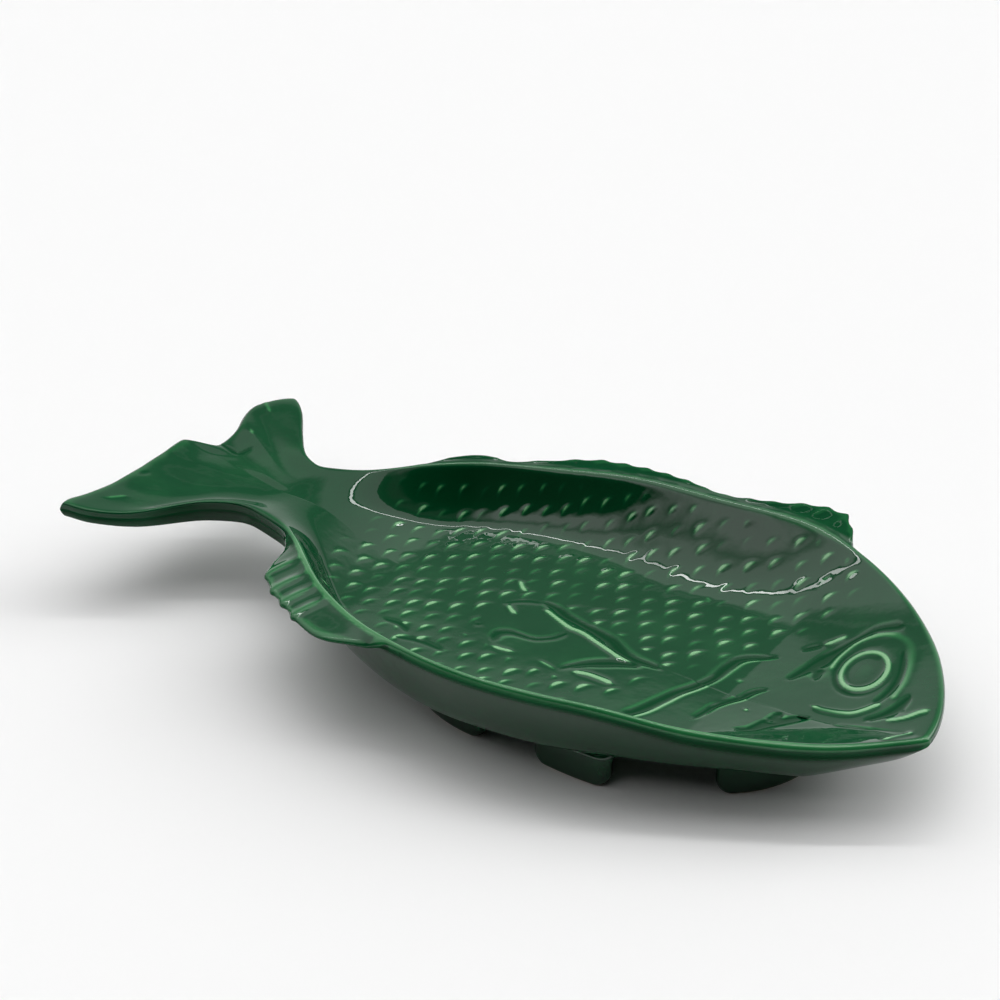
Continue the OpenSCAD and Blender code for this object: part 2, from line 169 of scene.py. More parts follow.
@dataclass
class Body:
    """Form of the fish's body: its outline, its well, its lip and its underside.

    A run is how far a wall leans in on its way down, and the shares scale the size that they are
    named for at even places along the body.
    """

    length: float = 263.0
    spine_gap: float = 49.0
    back_w: float = 84.0
    belly_w: float = 70.0
    snout_dip: float = 8.0
    rim_h: float = 43.5
    foot_h: float = 14.0
    floor_t: float = 5.0
    lip_w: float = 2.0
    lip_drop: float = 1.0
    lip_edge_h: float = 2.5
    root_edge_h: float = 5.5
    back_run: float = 22.0
    belly_run: float = 17.0
    outer_run: float = 13.0
    outer_bow: float = 2.0
    trough_d: float = 5.0
    ramp_l: float = 48.0
    head_l: float = 77.0
    head_rise: float = 12.5
    chin_l: float = 36.0
    chin_rise: float = 12.0
    dish_rise: float = 3.6
    dish_run: float = 62.0
    back_share: Sequence[float] = (0.28, 0.655, 0.92, 1.125, 1.425, 1.505, 1.435, 1.23, 1.03)
    belly_share: Sequence[float] = (0.32, 0.82, 1.12, 1.18, 1.08, 0.93, 0.78, 0.58, 0.475)
    back_run_share: Sequence[float] = (1.0, 1.0, 1.0, 1.2, 1.6, 1.8, 1.8, 1.6, 1.4)
    belly_run_share: Sequence[float] = (1.0, 1.0, 1.0, 1.0, 1.0, 1.05, 1.2, 1.5, 1.81)
    rim_share: Sequence[float] = (0.83, 0.935, 0.955, 1.0, 1.0, 0.97, 0.83, 0.77, 0.82)

    def half_w(self, s: np.ndarray, side: Side) -> np.ndarray:
        """Returns the half width at the station s on one side."""
        back = side == Side.BACK
        share = curve(s, self.back_share if back else self.belly_share)
        return np.cos(math.pi / 2 * s) * share * (self.back_w if back else self.belly_w)

    def spine(self, s: np.ndarray) -> np.ndarray:
        """Returns the plan points of the middle line at the stations s."""
        reach = (self.length - self.spine_gap) * np.sin(math.pi / 2 * s)
        return np.stack([reach, -self.snout_dip * s * s], -1)

    def rim(self, s: np.ndarray, side: Side) -> np.ndarray:
        """Returns the plan points of the rim's outer edge at the stations s."""
        y = -self.snout_dip * s * s + int(side) * self.half_w(s, side)
        return np.stack([self.length * np.sin(math.pi / 2 * s), y], -1)

    def rim_z(self, x: np.ndarray) -> np.ndarray:
        """Returns the height of the rim at x."""
        return self.rim_h * curve(x / self.length, self.rim_share)

    @property
    def root_z(self) -> float:
        """Height of the rim at the tail root."""
        return self.rim_h * self.rim_share[0]

    @property
    def floor_z(self) -> float:
        """Height of the well's floor."""
        return self.foot_h + self.floor_t

    @property
    def ramp_h(self) -> float:
        """Height of the ramp from the well's floor up to the trough at the tail root."""
        return self.root_z - self.trough_d - self.floor_z

    def ramp(self, x: np.ndarray) -> np.ndarray:
        """Returns the share of the ramp's height that is left at x."""
        return 1.0 - ease(x / self.ramp_l)

    def face_z(self, x: np.ndarray) -> np.ndarray:
        """Returns the height of the well's floor and of the head's face at x."""
        head = np.maximum(x - (self.length - self.head_l), 0.0) / self.head_l
        return self.floor_z + self.ramp_h * self.ramp(x) + self.head_rise * head

    def base_z(self, x: np.ndarray) -> np.ndarray:
        """Returns the height of the underside at x."""
        chin = np.maximum(x - (self.length - self.chin_l), 0.0) / self.chin_l
        return self.foot_h + self.ramp_h * self.ramp(x) + self.chin_rise * chin

    def edge_h(self, x: np.ndarray) -> np.ndarray:
        """Returns the height of the lip's outer edge at x."""
        return self.lip_edge_h + self.root_edge_h * self.ramp(x)

    def inner_z(self, x: np.ndarray, d: np.ndarray, side: Side) -> np.ndarray:
        """Height of the well's skin.

        Args:
            x: Places along the body.
            d: Distances in from the rim's outer edge, along the cross-section.
            side: Side of the middle line.

        Returns:
            Heights at those places.
        """
        back = side == Side.BACK
        share = curve(x / self.length, self.back_run_share if back else self.belly_run_share)
        run = (self.back_run if back else self.belly_run) * share
        low, high = self.face_z(x), self.rim_z(x)
        dished = self.dish_rise * clamp(1.0 - (d - self.lip_w) / self.dish_run) ** 2
        drop = self.lip_drop * clamp(1.0 - d / self.lip_w) ** 2
        wall = 1.0 - np.cos(math.pi / 2 * clamp(1.0 - (d - self.lip_w) / run))
        return low + dished + (high - low - self.dish_rise) * wall - drop

    def outer_z(self, x: np.ndarray, d: np.ndarray) -> np.ndarray:
        """Returns the height of the underside at x and at the distance d in from the edge."""
        low = self.base_z(x)
        high = self.rim_z(x) - self.lip_drop - self.edge_h(x)
        return low + (high - low) * clamp(1.0 - d / self.outer_run) ** self.outer_bow


@dataclass
class Tail:
    """Form of the forked tail behind the body's root section.

    Places along it are shares t from the root, 0, to the rear edge, 1. Places across it are shares
    v from the belly edge, -1, to the back edge, 1. A bend is the power by which an edge turns. Over
    root_t the body's end section passes into the tail's own, and over rear_r the rear edge is
    rounded, down to rear_share of its thickness.
    """

    length: float = 63.5
    belly_w: float = 64.0
    back_w: float = 53.0
    stem_w: float = 20.0
    fork_d: float = 11.0
    fork_v: float = 0.15
    fork_belly_v: float = 0.16
    fork_back_v: float = 0.6
    lobe_gap: float = 3.5
    lobe_gap_v: float = 0.3
    tip_reach: float = 7.5
    tip_bend: int = 6
    lobe_r: float = 11.0
    lobe_bend: int = 5
    blunt: float = 3.2
    blunt_in: Span = (0.9, 0.1)
    crease_d: float = 3.0
    crease_v: float = 0.3
    crease_in: Span = (0.35, 0.6)
    thickness: float = 4.5
    thickness_in: Span = (0.25, 0.5)
    bulge_share: float = 0.2
    rise: float = 5.0
    trough_share: float = 0.15
    ray_h: float = 0.08
    ray_count: int = 4
    ray_in: Span = (0.4, 0.4)
    side_bend: int = 12
    rear_bend: int = 16
    roll_h: float = 1.8
    roll_bend: int = 5
    roll_in: Span = (0.05, 0.4)
    hump_h: float = 2.4
    hump_v: float = 0.02
    hump_w: float = 0.13
    hump_in: Span = (0.75, 0.25)
    stem_t: float = 0.25
    root_t: float = 0.3
    rear_r: float = 2.6
    rear_share: float = 0.3
    belly_share: Sequence[float] = (0.0, 0.0, 0.25, 0.74, 0.96, 1.0)
    back_share: Sequence[float] = (0.0, 0.0, 0.11, 0.43, 0.79, 1.0)

    def rear_x(self, v: np.ndarray) -> np.ndarray:
        """Returns how far behind the root the rear edge lies, at the share v across the tail."""
        width = np.where(v < self.fork_v, self.fork_belly_v, self.fork_back_v)
        fork = self.fork_d * bell(v - self.fork_v, width)
        step = self.lobe_gap * grow(v, (self.fork_v, self.lobe_gap_v))
        tips = np.where(v < 0, -self.tip_reach * v ** self.tip_bend,
                        self.lobe_r * np.abs(v) ** self.lobe_bend)
        corner = self.blunt * clamp((-v - self.blunt_in[0]) / self.blunt_in[1]) ** 2
        return -self.length + fork + step + tips + corner

    def half_w(self, t: np.ndarray, side: Side, root_w: float) -> np.ndarray:
        """Returns the half width at the share t from the root to the rear edge, on one side."""
        belly = side == Side.BELLY
        stem = mix(root_w, self.stem_w, ease(t / self.stem_t))
        share = curve(t, self.belly_share if belly else self.back_share)
        return mix(stem, self.belly_w if belly else self.back_w, share)

    def top_z(self, t: np.ndarray, v: np.ndarray, body: Body) -> np.ndarray:
        """Height of the tail's upper skin.

        Args:
            t: Shares from the root, 0, to the rear edge, 1.
            v: Shares across, from the belly edge, -1, to the back edge, 1.
            body: The body that the tail grows from.

        Returns:
            Heights at those places.
        """
        wide = np.abs(v)
        flat = body.root_z - body.trough_d * mix(1.0, self.trough_share, t) * (1.0 - wide ** 3)
        crease = self.crease_d * bell(v - self.fork_v, self.crease_v) * grow(t, self.crease_in)
        rays = self.ray_h * np.cos(2 * math.pi * v * self.ray_count) * grow(t, self.ray_in)
        lip = body.lip_drop * (wide ** self.side_bend + t ** self.rear_bend)
        hump = self.hump_h * peak(v - self.hump_v, self.hump_w) * grow(t, self.hump_in)
        plain = flat + self.rise * ease(t) - crease + rays * (1.0 - wide ** 4) - lip
        return plain + hump + self.roll(t, v)

    def roll(self, t: np.ndarray, v: np.ndarray) -> np.ndarray:
        """Returns how far the belly edge is rolled up at t and v."""
        bend = np.where(v < 0, np.abs(v) ** self.roll_bend, 0.0)
        return self.roll_h * bend * grow(t, self.roll_in)

    def under_z(self, t: np.ndarray, v: np.ndarray, body: Body) -> np.ndarray:
        """Returns the height of the tail's lower skin at t and v."""
        edge = mix(body.edge_h(np.zeros(1)), self.thickness, grow(t, self.thickness_in))
        belly = body.floor_t * self.bulge_share * (1.0 - v * v) * (1.0 - t)
        return self.top_z(t, v, body) - self.roll(t, v) - edge - belly


@dataclass
class Fin:
    """A rayed fin that grows out of the lip's outer edge.

    Its ends and its rays are given in the body's stations, of which the snout is number 76. Past
    the corner, a share of its length, it falls away to the rim. The step is how far it lies below
    the lip's crest, and it is reached over the step's run. The onset is how soon its form is full
    as its reach grows, and a ray keeps its height past ray_end, a share of the reach.
    """

    part: Part
    side: Side
    first: float
    last: float
    reach: float
    rise: float
    rays: Sequence[float]
    ray_w: float
    ray_h: float
    shares: Sequence[float]
    corner: float = 1.0
    corner_share: float = 0.96
    sweep: float = 0.0
    edge_t: float = 3.0
    scallop: float = 0.05
    step: float = 0.7
    step_run: float = 2.5
    onset: float = 4.0
    ray_end: float = 0.8
    fade: float = 0.04
    stations: int = 76

    def share(self, s: np.ndarray) -> np.ndarray:
        """Returns the share of its reach that the fin has at the stations s."""
        t = (s * self.stations - self.first) / (self.last - self.first)
        grown = curve(t / self.corner, self.shares)
        if self.corner < 1.0:
            grown = grown * mix(1.0, clamp((1.0 - t) / (1.0 - self.corner)), self.corner_share)
        inside = ease((t + self.fade) / self.fade) * ease((1.0 + self.fade - t) / (2.0 * self.fade))
        return grown * inside

    def wave(self, s: np.ndarray) -> np.ndarray:
        """Returns 1 on each ray and 0 between rays, at the stations s."""
        return sum(peak(s * self.stations - ray, self.ray_w) for ray in self.rays)


@dataclass
class Stroke:
    """A carved groove or a raised ridge along a line of listed plan points.

    Each point is (x, y, half width). A positive height raises the clay, a negative one cuts it.
    The bank is a low ridge along the stroke's left side, seen along its points. Its place and
    width are shares of the stroke's half width. At either end the stroke narrows over its taper,
    down to end_share of its width.
    """

    name: str
    points: Points
    height: float
    bank: float = 0.0
    crisp: float = 6.0
    taper: float = 2.0
    end_share: float = 0.15
    bank_at_share: float = 1.45
    bank_w_share: float = 0.35
    margin_share: float = 3.0
    samples: int = 8

    def path(self) -> np.ndarray:
        """Returns the smooth line through the points, as rows of x, y and half width."""
        pts = np.asarray(self.points, float)
        t = np.linspace(0.0, 1.0, self.samples * (len(pts) - 1) + 1)
        return np.stack([curve(t, pts[:, k]) for k in range(3)], -1)

    def add_to(self, xy: np.ndarray, height: np.ndarray) -> None:
        """Adds the stroke's relief to a height field.

        Args:
            xy: Plan points of the skin.
            height: Relief at those points, which is changed in place.
        """
        line = self.path()
        reach = line[:, 2].max() * self.margin_share
        low, high = line[:, :2].min(0) - reach, line[:, :2].max(0) + reach
        near = np.flatnonzero(((xy > low) & (xy < high)).all(1))
        p = xy[near]
        best = np.full(len(p), np.inf)
        side, width, run = np.zeros(len(p)), np.ones(len(p)), np.zeros(len(p))
        step = np.linalg.norm(np.diff(line[:, :2], axis=0), axis=1)
        start = np.concatenate([[0.0], np.cumsum(step)])
        for k in range(len(line) - 1):
            a, b = line[k], line[k + 1]
            along = (b - a)[:2] / max(step[k], TINY)
            rel = p - a[:2]
            u = np.clip(rel @ along, 0.0, step[k])
            off = rel - u[:, None] * along
            dist = np.linalg.norm(off, axis=1)
            hit = dist < best
            best[hit] = dist[hit]
            side[hit] = np.sign(along[0] * off[:, 1] - along[1] * off[:, 0])[hit]
            width[hit] = mix(a[2], b[2], u / max(step[k], TINY))[hit]
            run[hit] = (start[k] + u)[hit]
        ends = np.sqrt(clamp(np.minimum(run, start[-1] - run) / self.taper))
        ends = np.maximum(ends, self.end_share)
        core = peak(best, width * ends, self.crisp)
        height[near] = mix(height[near], self.height * ends, core)
        if self.bank:
            beside = peak(best * side - self.bank_at_share * width, self.bank_w_share * width)
            height[near] += self.bank * beside * ends * (1.0 - core)


def ridge(name: str, points: Points, height: float) -> Stroke:
    """Returns a soft stroke, rounded across, as the raised lines of the relief are."""
    return Stroke(name, points, height, crisp=2.0)


@dataclass
class Scales:
    """Rows of small raised crescents, like the free edges of scales, over the well's floor.

    They stand on a grid with two steps, along and across the rows, and each is moved by up to the
    jitter and scaled at random, by values that come again after so many cells. They end at the
    gill line, at the tail root and at the rim.
    """

    along: tuple[float, float] = (8.3, 4.3)
    across: tuple[float, float] = (3.9, -7.4)
    start: tuple[float, float] = (119.2, 15.8)
    height: float = 0.55
    half_length: float = 2.7
    half_width: float = 0.95
    inner_share: float = 0.75
    bow: float = 0.09
    lean: float = math.radians(66.0)
    jitter: float = 1.0
    size_shares: tuple[float, float] = (0.25, 1.2)
    cells: int = 64
    squeeze: float = 25.0
    squeeze_to: float = 150.0
    seed: int = 7
    gill_x: float = 176.0
    gill_y: float = 2.0
    gill_lean: float = 0.55
    gill_gap: float = 7.0
    gill_run: float = 5.0
    root_in: Span = (18.0, 12.0)
    rim_in: Span = (4.5, 3.0)

    def warp(self, x: np.ndarray) -> np.ndarray:
        """Returns x stretched towards the tail, where the scales are smaller."""
        near_tail = np.clip(1.0 - x / self.squeeze_to, 0.0, None)
        return x - self.squeeze * near_tail ** 2

    def cover(self, x: np.ndarray, y: np.ndarray, q: np.ndarray) -> np.ndarray:
        """Returns 1 where the scales stand in full, from the places x, y and q past the rim."""
        gill = self.gill_x + self.gill_lean * (y - self.gill_y)
        inside = ease((gill - self.gill_gap - x) / self.gill_run)
        return inside * grow(x, self.root_in) * grow(-q, self.rim_in)

    def relief(self, x: np.ndarray, w: np.ndarray) -> np.ndarray:
        """Relief of the scales.

        Args:
            x: Places along the body.
            w: Places across the body, measured along the skin.

        Returns:
            Heights over the plain skin.
        """
        basis = np.array([self.along, self.across]).T
        rel = np.stack([self.warp(x) - self.start[0], w - self.start[1]])
        m, n = np.linalg.solve(basis, rel)
        rng = np.random.default_rng(self.seed)
        shift = rng.uniform(-self.jitter, self.jitter, (2, self.cells, self.cells))
        scale = rng.uniform(*self.size_shares, (self.cells, self.cells))
        out = np.zeros_like(x)
        for dm in (-1, 0, 1):
            for dn in (-1, 0, 1):
                cm, cn = np.round(m) + dm, np.round(n) + dn
                im, jn = cm.astype(int) % self.cells, cn.astype(int) % self.cells
                ax = rel[0] - (basis[0, 0] * cm + basis[0, 1] * cn) - shift[0, im, jn]
                ay = rel[1] - (basis[1, 0] * cm + basis[1, 1] * cn) - shift[1, im, jn]
                e = ax * math.cos(self.lean) + ay * math.sin(self.lean)
                f = ax * math.sin(self.lean) - ay * math.cos(self.lean) - self.bow * e * e
                wide = self.half_width * np.where(f > 0, 1.0, self.inner_share)
                bump = np.exp(-(e / self.half_length) ** 2 - (f / wide) ** 2)
                out = np.maximum(out, bump * scale[im, jn])
        return out * self.height


@dataclass
class PectoralFin:
    """Outline of the pectoral fin, which lies in the well and points away from the gill."""

    root_x: float = 160.0
    length: float = 64.0
    ends: Span = (88.0, 161.0)
    back_y: Sequence[float] = (-1.0, 3.0, 6.0, 7.0, 10.0, 11.0, 7.0)
    belly_y: Sequence[float] = (-6.0, -20.0, -27.0, -28.0, -28.0, -27.0, -24.0)

    def covers(self, x: np.ndarray, y: np.ndarray) -> np.ndarray:
        """Returns True at the plan points that the fin covers."""
        t = (self.root_x - x) / self.length
        inside = (x > self.ends[0]) & (x < self.ends[1])
        return inside & (y < curve(t, self.back_y)) & (y > curve(t, self.belly_y))


@dataclass
class Eye:
    """The raised oval ring of the eye with its domed pupil.

    A moat lies along part of the ring's outer and inner edge. Places and widths of ring and moats
    are shares of the ring's band. The ring is heavier on one side, and the moats deeper on another.
    The ring's piece reaches out to ring_past and the pupil's to pupil_share of the ring's edge.
    """

    centre: tuple[float, float] = (223.6, 24.6)
    half_long: float = 13.0
    half_short: float = 9.0
    lean: float = math.radians(108.0)
    ring_w: float = 2.3
    ring_h: float = 1.1
    ring_past: float = 1.05
    heavy_way: tuple[float, float] = (0.98, -0.2)
    heavy_shares: tuple[float, float] = (0.7, 0.3)
    moat_h: float = 0.8
    moat_way: tuple[float, float] = (0.83, 0.56)
    moat_shares: tuple[float, float] = (0.35, -0.65)
    outer_moat_shares: tuple[float, float] = (0.45, 0.4)
    inner_moat_shares: tuple[float, float] = (1.4, 0.35)
    inner_moat_h_share: float = 0.5
    moat_crisp: float = 4.0
    pupil_share: float = 0.52
    pupil_h: float = 0.2
    pupil_spread: float = 1.2

    def share(self, xy: np.ndarray) -> np.ndarray:
        """Returns how far out each plan point lies: 1 on the ring's outer edge."""
        rel = xy - np.array(self.centre)
        u = rel @ np.array([math.cos(self.lean), math.sin(self.lean)])
        v = rel @ np.array([-math.sin(self.lean), math.cos(self.lean)])
        return np.hypot(u / self.half_long, v / self.half_short)

    def relief(self, xy: np.ndarray) -> np.ndarray:
        """Returns the relief of the ring, its moats and its pupil at the plan points."""
        e = self.share(xy)
        band = self.ring_w / self.half_short
        rel = xy - np.array(self.centre)
        way = rel / np.maximum(np.linalg.norm(rel, axis=1, keepdims=True), TINY)
        heavy = self.heavy_shares[0] + self.heavy_shares[1] * (way @ np.array(self.heavy_way))
        hollow = clamp(self.moat_shares[0] + self.moat_shares[1] * (way @ np.array(self.moat_way)))
        ring = self.ring_h * heavy * peak(e - 1.0 + band / 2, band / 2)
        at, width = self.outer_moat_shares
        outer = peak(e - 1.0 - band * at, band * width, self.moat_crisp)
        at, width = self.inner_moat_shares
        inner = self.inner_moat_h_share * peak(e - 1.0 + band * at, band * width)
        pupil = self.pupil_h * bell(e, self.pupil_share * self.pupil_spread)
        return ring - self.moat_h * hollow * (outer + inner) + pupil


HEAD_STROKES = (
    Stroke("gill", ((190.3, 25.4, 0.8), (183.3, 21.6, 1.4), (179.2, 17.4, 1.8), (177.9, 11, 1.9),
                    (177.2, 2.4, 1.6), (174.4, -5.4, 1.6), (171.2, -12.2, 1.7), (168.8, -20.4, 1.9),
                    (166.4, -28.4, 2.0), (163, -35, 1.6)), -1.0, bank=0.22),
    Stroke("gill_fold", ((197.1, 4.8, 0.7), (193.5, 1.4, 1.4), (191.2, -4.2, 1.4), (188.2, -8.7, 1.1),
                         (185.9, -13, 1.1), (184.9, -18, 0.9), (183.6, -24, 0.6)), -1.0, bank=0.18),
    Stroke("cheek", ((218.9, -6.3, 1.4), (216, -9.3, 2.2), (212.6, -12.8, 2.6), (208.5, -16.4, 3.0),
                     (204.8, -22.2, 1.9), (199.7, -23.9, 0.7)), -1.0),
    Stroke("cheek_branch", ((208.5, -7.3, 1.4), (208.7, -11.9, 2.0), (207.9, -15.3, 2.2)), -1.0),
    Stroke("brow", ((225.5, 51.8, 1.8), (220.8, 49.4, 2.3), (216.4, 47.5, 1.7), (212.8, 42.6, 1.4),
                    (210, 37.5, 1.9), (207.5, 32.1, 2.7), (205.8, 26.5, 3.3), (203.8, 21.4, 2.4),
                    (200, 12.3, 0.6)), -1.0),
    Stroke("brow_barb", ((209.5, 15.1, 0.6), (208.5, 18.9, 1.5), (207.4, 23.3, 2.4)), -1.0),
    Stroke("temple", ((195.6, 31.7, 0.7), (198.4, 34.7, 1.2), (202.2, 37.1, 0.7)), -0.9),
    ridge("temple_ridge", ((201.5, 36.9, 0.6), (204.5, 39.3, 0.9), (207.9, 43.6, 0.6)), 0.7),
    Stroke("orbit_groove", ((230.8, 38.6, 0.6), (234.5, 31.5, 1.3), (236.9, 24.6, 1.4),
                            (237.8, 17.6, 1.4), (236.8, 10.7, 1.1), (235, 6.3, 0.6)), -0.9),
    ridge("orbit_low", ((215.8, 0.3, 0.9), (219.8, -1, 1.4), (223.6, -1.3, 1.5), (227.4, -1.3, 1.6),
                        (231.4, -0.5, 1.5), (234.9, 2.7, 1.3), (238, 7.5, 1.0)), 0.8),
    ridge("orbit_up", ((211.3, 23.2, 0.8), (210.9, 31.8, 0.9), (213.2, 40.4, 1.1), (219.2, 45.4, 1.9),
                       (224.8, 45.8, 2.3), (230.3, 43.4, 2.4), (234.6, 38, 2.2), (237.9, 30, 2.0),
                       (240.3, 20, 1.8), (240.5, 10, 1.4)), 0.36),
    Stroke("jaw", ((245.6, 14.2, 0.7), (245.4, 9.3, 1.7), (244.3, 4, 2.2), (241.3, 0, 1.5),
                   (236.7, -3.9, 0.6)), -1.0),
    Stroke("jaw_barb", ((248.1, 4, 0.6), (246.2, 5.2, 1.4)), -0.9),
    ridge("lip_upper", ((243.9, -2.5, 0.7), (249.6, 0.5, 1.2), (253.3, 4.7, 1.3), (256.1, 6.8, 0.8)),
          0.6),
    ridge("jaw_line", ((228.2, -8.7, 0.6), (235.3, -8.3, 0.9), (243.3, -7.8, 0.6)), 0.4),
    ridge("lip_lower", ((249.5, -16.5, 0.8), (253, -11.5, 1.4), (257, -7, 0.9)), 0.6),
    ridge("cheek_spot", ((196.4, -11.4, 1.3), (197.6, -10, 1.3)), 0.6),
    ridge("gill_spot", ((184.3, 5.2, 1.2), (186.7, 6.6, 1.2)), 0.4),
)

PECTORAL_STROKES = (
    Stroke("leading_groove", ((101.5, 9.5, 0.9), (107.5, 8.4, 1.5), (113.3, 6.1, 1.9), (121.1, 4.7, 1.6),
                              (128.8, 3.3, 2.1), (134.9, 1.6, 2.3), (142.2, -2, 2.1), (148.9, -3.5, 1.9),
                              (154.4, -3.1, 1.4), (159.1, -3.1, 0.6)), -1.0),
    ridge("leading_ridge", ((104.5, 5.5, 0.6), (112.8, 2.2, 0.8), (118.4, 0.3, 0.9), (124.1, 0, 0.9),
                            (131.3, -2.1, 1.0), (138.4, -4.3, 1.0), (144.6, -5.9, 1.0),
                            (150.3, -6.1, 0.6)), 0.8),
    Stroke("shoulder", ((89.7, 0.1, 0.6), (92.9, 3.9, 1.1), (97.1, 6.9, 1.2), (101.9, 8.3, 0.9)), -0.45),
    ridge("shoulder_tick", ((91.4, 0.8, 0.7), (95.3, -2.1, 1.2), (98.2, -2.9, 0.7)), 0.5),
    Stroke("lobe_edge", ((100.4, -22.4, 1.1), (99.3, -17.2, 1.9), (101.7, -14.4, 1.8),
                         (105.4, -13.5, 1.2), (111.8, -12.7, 0.9), (116.4, -9.2, 0.8),
                         (118.5, -6, 0.8), (119.6, -2.2, 0.6)), -0.8),
    ridge("lobe_ridge", ((101.5, -24.9, 0.6), (105.4, -25, 0.9), (110.7, -23.7, 0.6)), 0.5),
    Stroke("leaf", ((129.3, -23.9, 0.4), (131.7, -19.8, 1.1), (135.5, -15.3, 1.8), (139.9, -11.8, 2.3),
                    (144.7, -8.7, 2.1), (152.2, -5.4, 1.2)), -1.0),
    ridge("leaf_ridge", ((134.2, -22.4, 0.7), (139.1, -21, 1.3), (143.9, -20.8, 1.6),
                         (148.1, -20.9, 1.3), (150.3, -21.1, 0.6)), 0.8),
    ridge("ray", ((120.3, -23.1, 0.4), (124.1, -23.7, 0.6), (128.5, -24.6, 0.4)), 0.3),
    ridge("spur", ((86.1, 16.7, 0.6), (90, 12.8, 1.0), (93.1, 11.5, 0.6)), 0.6),
    Stroke("spot", ((88.7, -17.7, 0.5), (89.8, -16.1, 0.9), (91.6, -14.9, 0.5)), -0.5),
)

WELL_STROKES = (
    ridge("ring", ((150.2, 43, 2.2), (152, 44.2, 2.2)), 0.5),
    ridge("ring_pit", ((150.6, 43.3, 0.9), (151.6, 43.9, 0.9)), 0.05),
    Stroke("drip_1", ((60, -34, 0.8), (67, -33, 1.4), (73, -36, 1.0)), -0.5),
    Stroke("drip_2", ((71, -41, 0.8), (80, -38, 1.2), (90, -38, 0.8)), -0.5),
)

TAIL_STROKES = (
    Stroke("fork_crease", ((-51.4, 8.9, 0.7), (-46.2, 8.2, 1.2), (-40.9, 7.2, 1.2)), -0.6),
    Stroke("fork_crease_2", ((-40.9, 7.2, 1.2), (-39.8, 10.6, 1.1), (-38.5, 14.7, 0.7)), -0.6),
    ridge("fork_spur", ((-46.5, 22.2, 0.7), (-42.9, 19.8, 1.0)), 0.3),
    Stroke("belly_dimple", ((-58.5, -30.3, 1.4), (-56.9, -25.5, 1.0)), -0.5),
    ridge("belly_line", ((-56.4, -51.3, 0.7), (-53.6, -48, 1.0), (-51.3, -44.6, 0.7)), 0.25),
    ridge("back_line", ((-56, 43, 0.6), (-52.5, 40.1, 1.1), (-47.5, 36.4, 0.7)), 0.3),
)

BODY_STROKES = HEAD_STROKES + PECTORAL_STROKES + WELL_STROKES


@dataclass
class Unevenness:
    """The slow waves that a hand-finished mould leaves in the skin, given by their lengths."""

    height: float = 0.05
    slow: tuple[float, float, float] = (9.1, 13.0, 7.3)
    slow_bend: float = 0.7
    slow_start: float = 1.1
    quick: tuple[float, float, float] = (5.2, 6.1, 4.0)
    quick_share: float = 0.6

    def at(self, xyz: np.ndarray) -> np.ndarray:
        """Returns the height of the waves at the points."""
        x, y, z = xyz.T
        a, b, c = self.slow
        waves = np.sin(x / a + self.slow_bend * np.sin(y / b)) * np.sin(y / c + self.slow_start)
        a, b, c = self.quick
        waves += self.quick_share * np.sin(x / a + y / b + z / c)
        return self.height * waves


@dataclass
class GlazeLay:
    """How the glaze lies over the skin: what it floods, where it runs thin or pools, how it shines.

    Its values are over 0 where it runs thin, on raised lines, and on crests, whose pale line is partly
    thin glaze and partly a painted highlight. They are under 0 where it pools, in cuts, and down steep
    walls, whose darkening is partly pooled glaze and partly painted shade. A wall is steep from where
    the upward share of its normal falls below wall_up. The sheen is 1 where the glaze shines in full,
    as smooth as glass. It is less in cuts and on the shoulder under the lip, which is larger on the
    head, where the dulled gloss is painted shade for the dark that these places would mirror. It is
    also less on the dorsal fin and on the tail, which keeps the room's mirrored lines faint there.
    """

    flood_rounds: int = 3
    shows_through: float = 0.7
    cut_through: float = 0.45
    fin_in: Span = (0.5, 1.5)
    # Crests: a pale line, partly thin glaze and partly a painted highlight.
    crest_rounds: int = 10
    crest_from: float = 0.03
    crest_gain: float = 8.0
    crest_most: float = 0.5
    back_crest: float = 0.5
    tail_crest: float = 0.3
    tail_crest_in: Span = (-5.0, 30.0)
    fin_crest_loss: float = 0.4
    thin_rounds: int = 14
    thin_gain: float = 2.5
    thin_most: float = 0.85
    pool_gain: float = 0.15
    pool_most: float = 0.3
    # Steep walls: darker, partly pooled glaze and partly painted shade.
    wall_pool_and_shade: float = 0.36
    wall_up: float = 0.92
    wall_over: float = 0.35
    inner_wall: float = 0.65
    # Sheen dulled in cuts and under the lip: painted shade for the dark these places would mirror.
    sheen_from: float = 0.12
    sheen_over: float = 0.35
    sheen_least: float = 0.42
    tail_sheen: float = 0.6
    tail_sheen_in: Span = (0.0, 40.0)
    fin_sheen_loss: float = 0.93
    shoulder_shade: float = 0.9
    shoulder_d: float = 2.6
    shoulder_w: float = 3.0
    shoulder_upper: float = 0.6
    head_growth: float = 0.5
    head_in: Span = (150.0, 70.0)


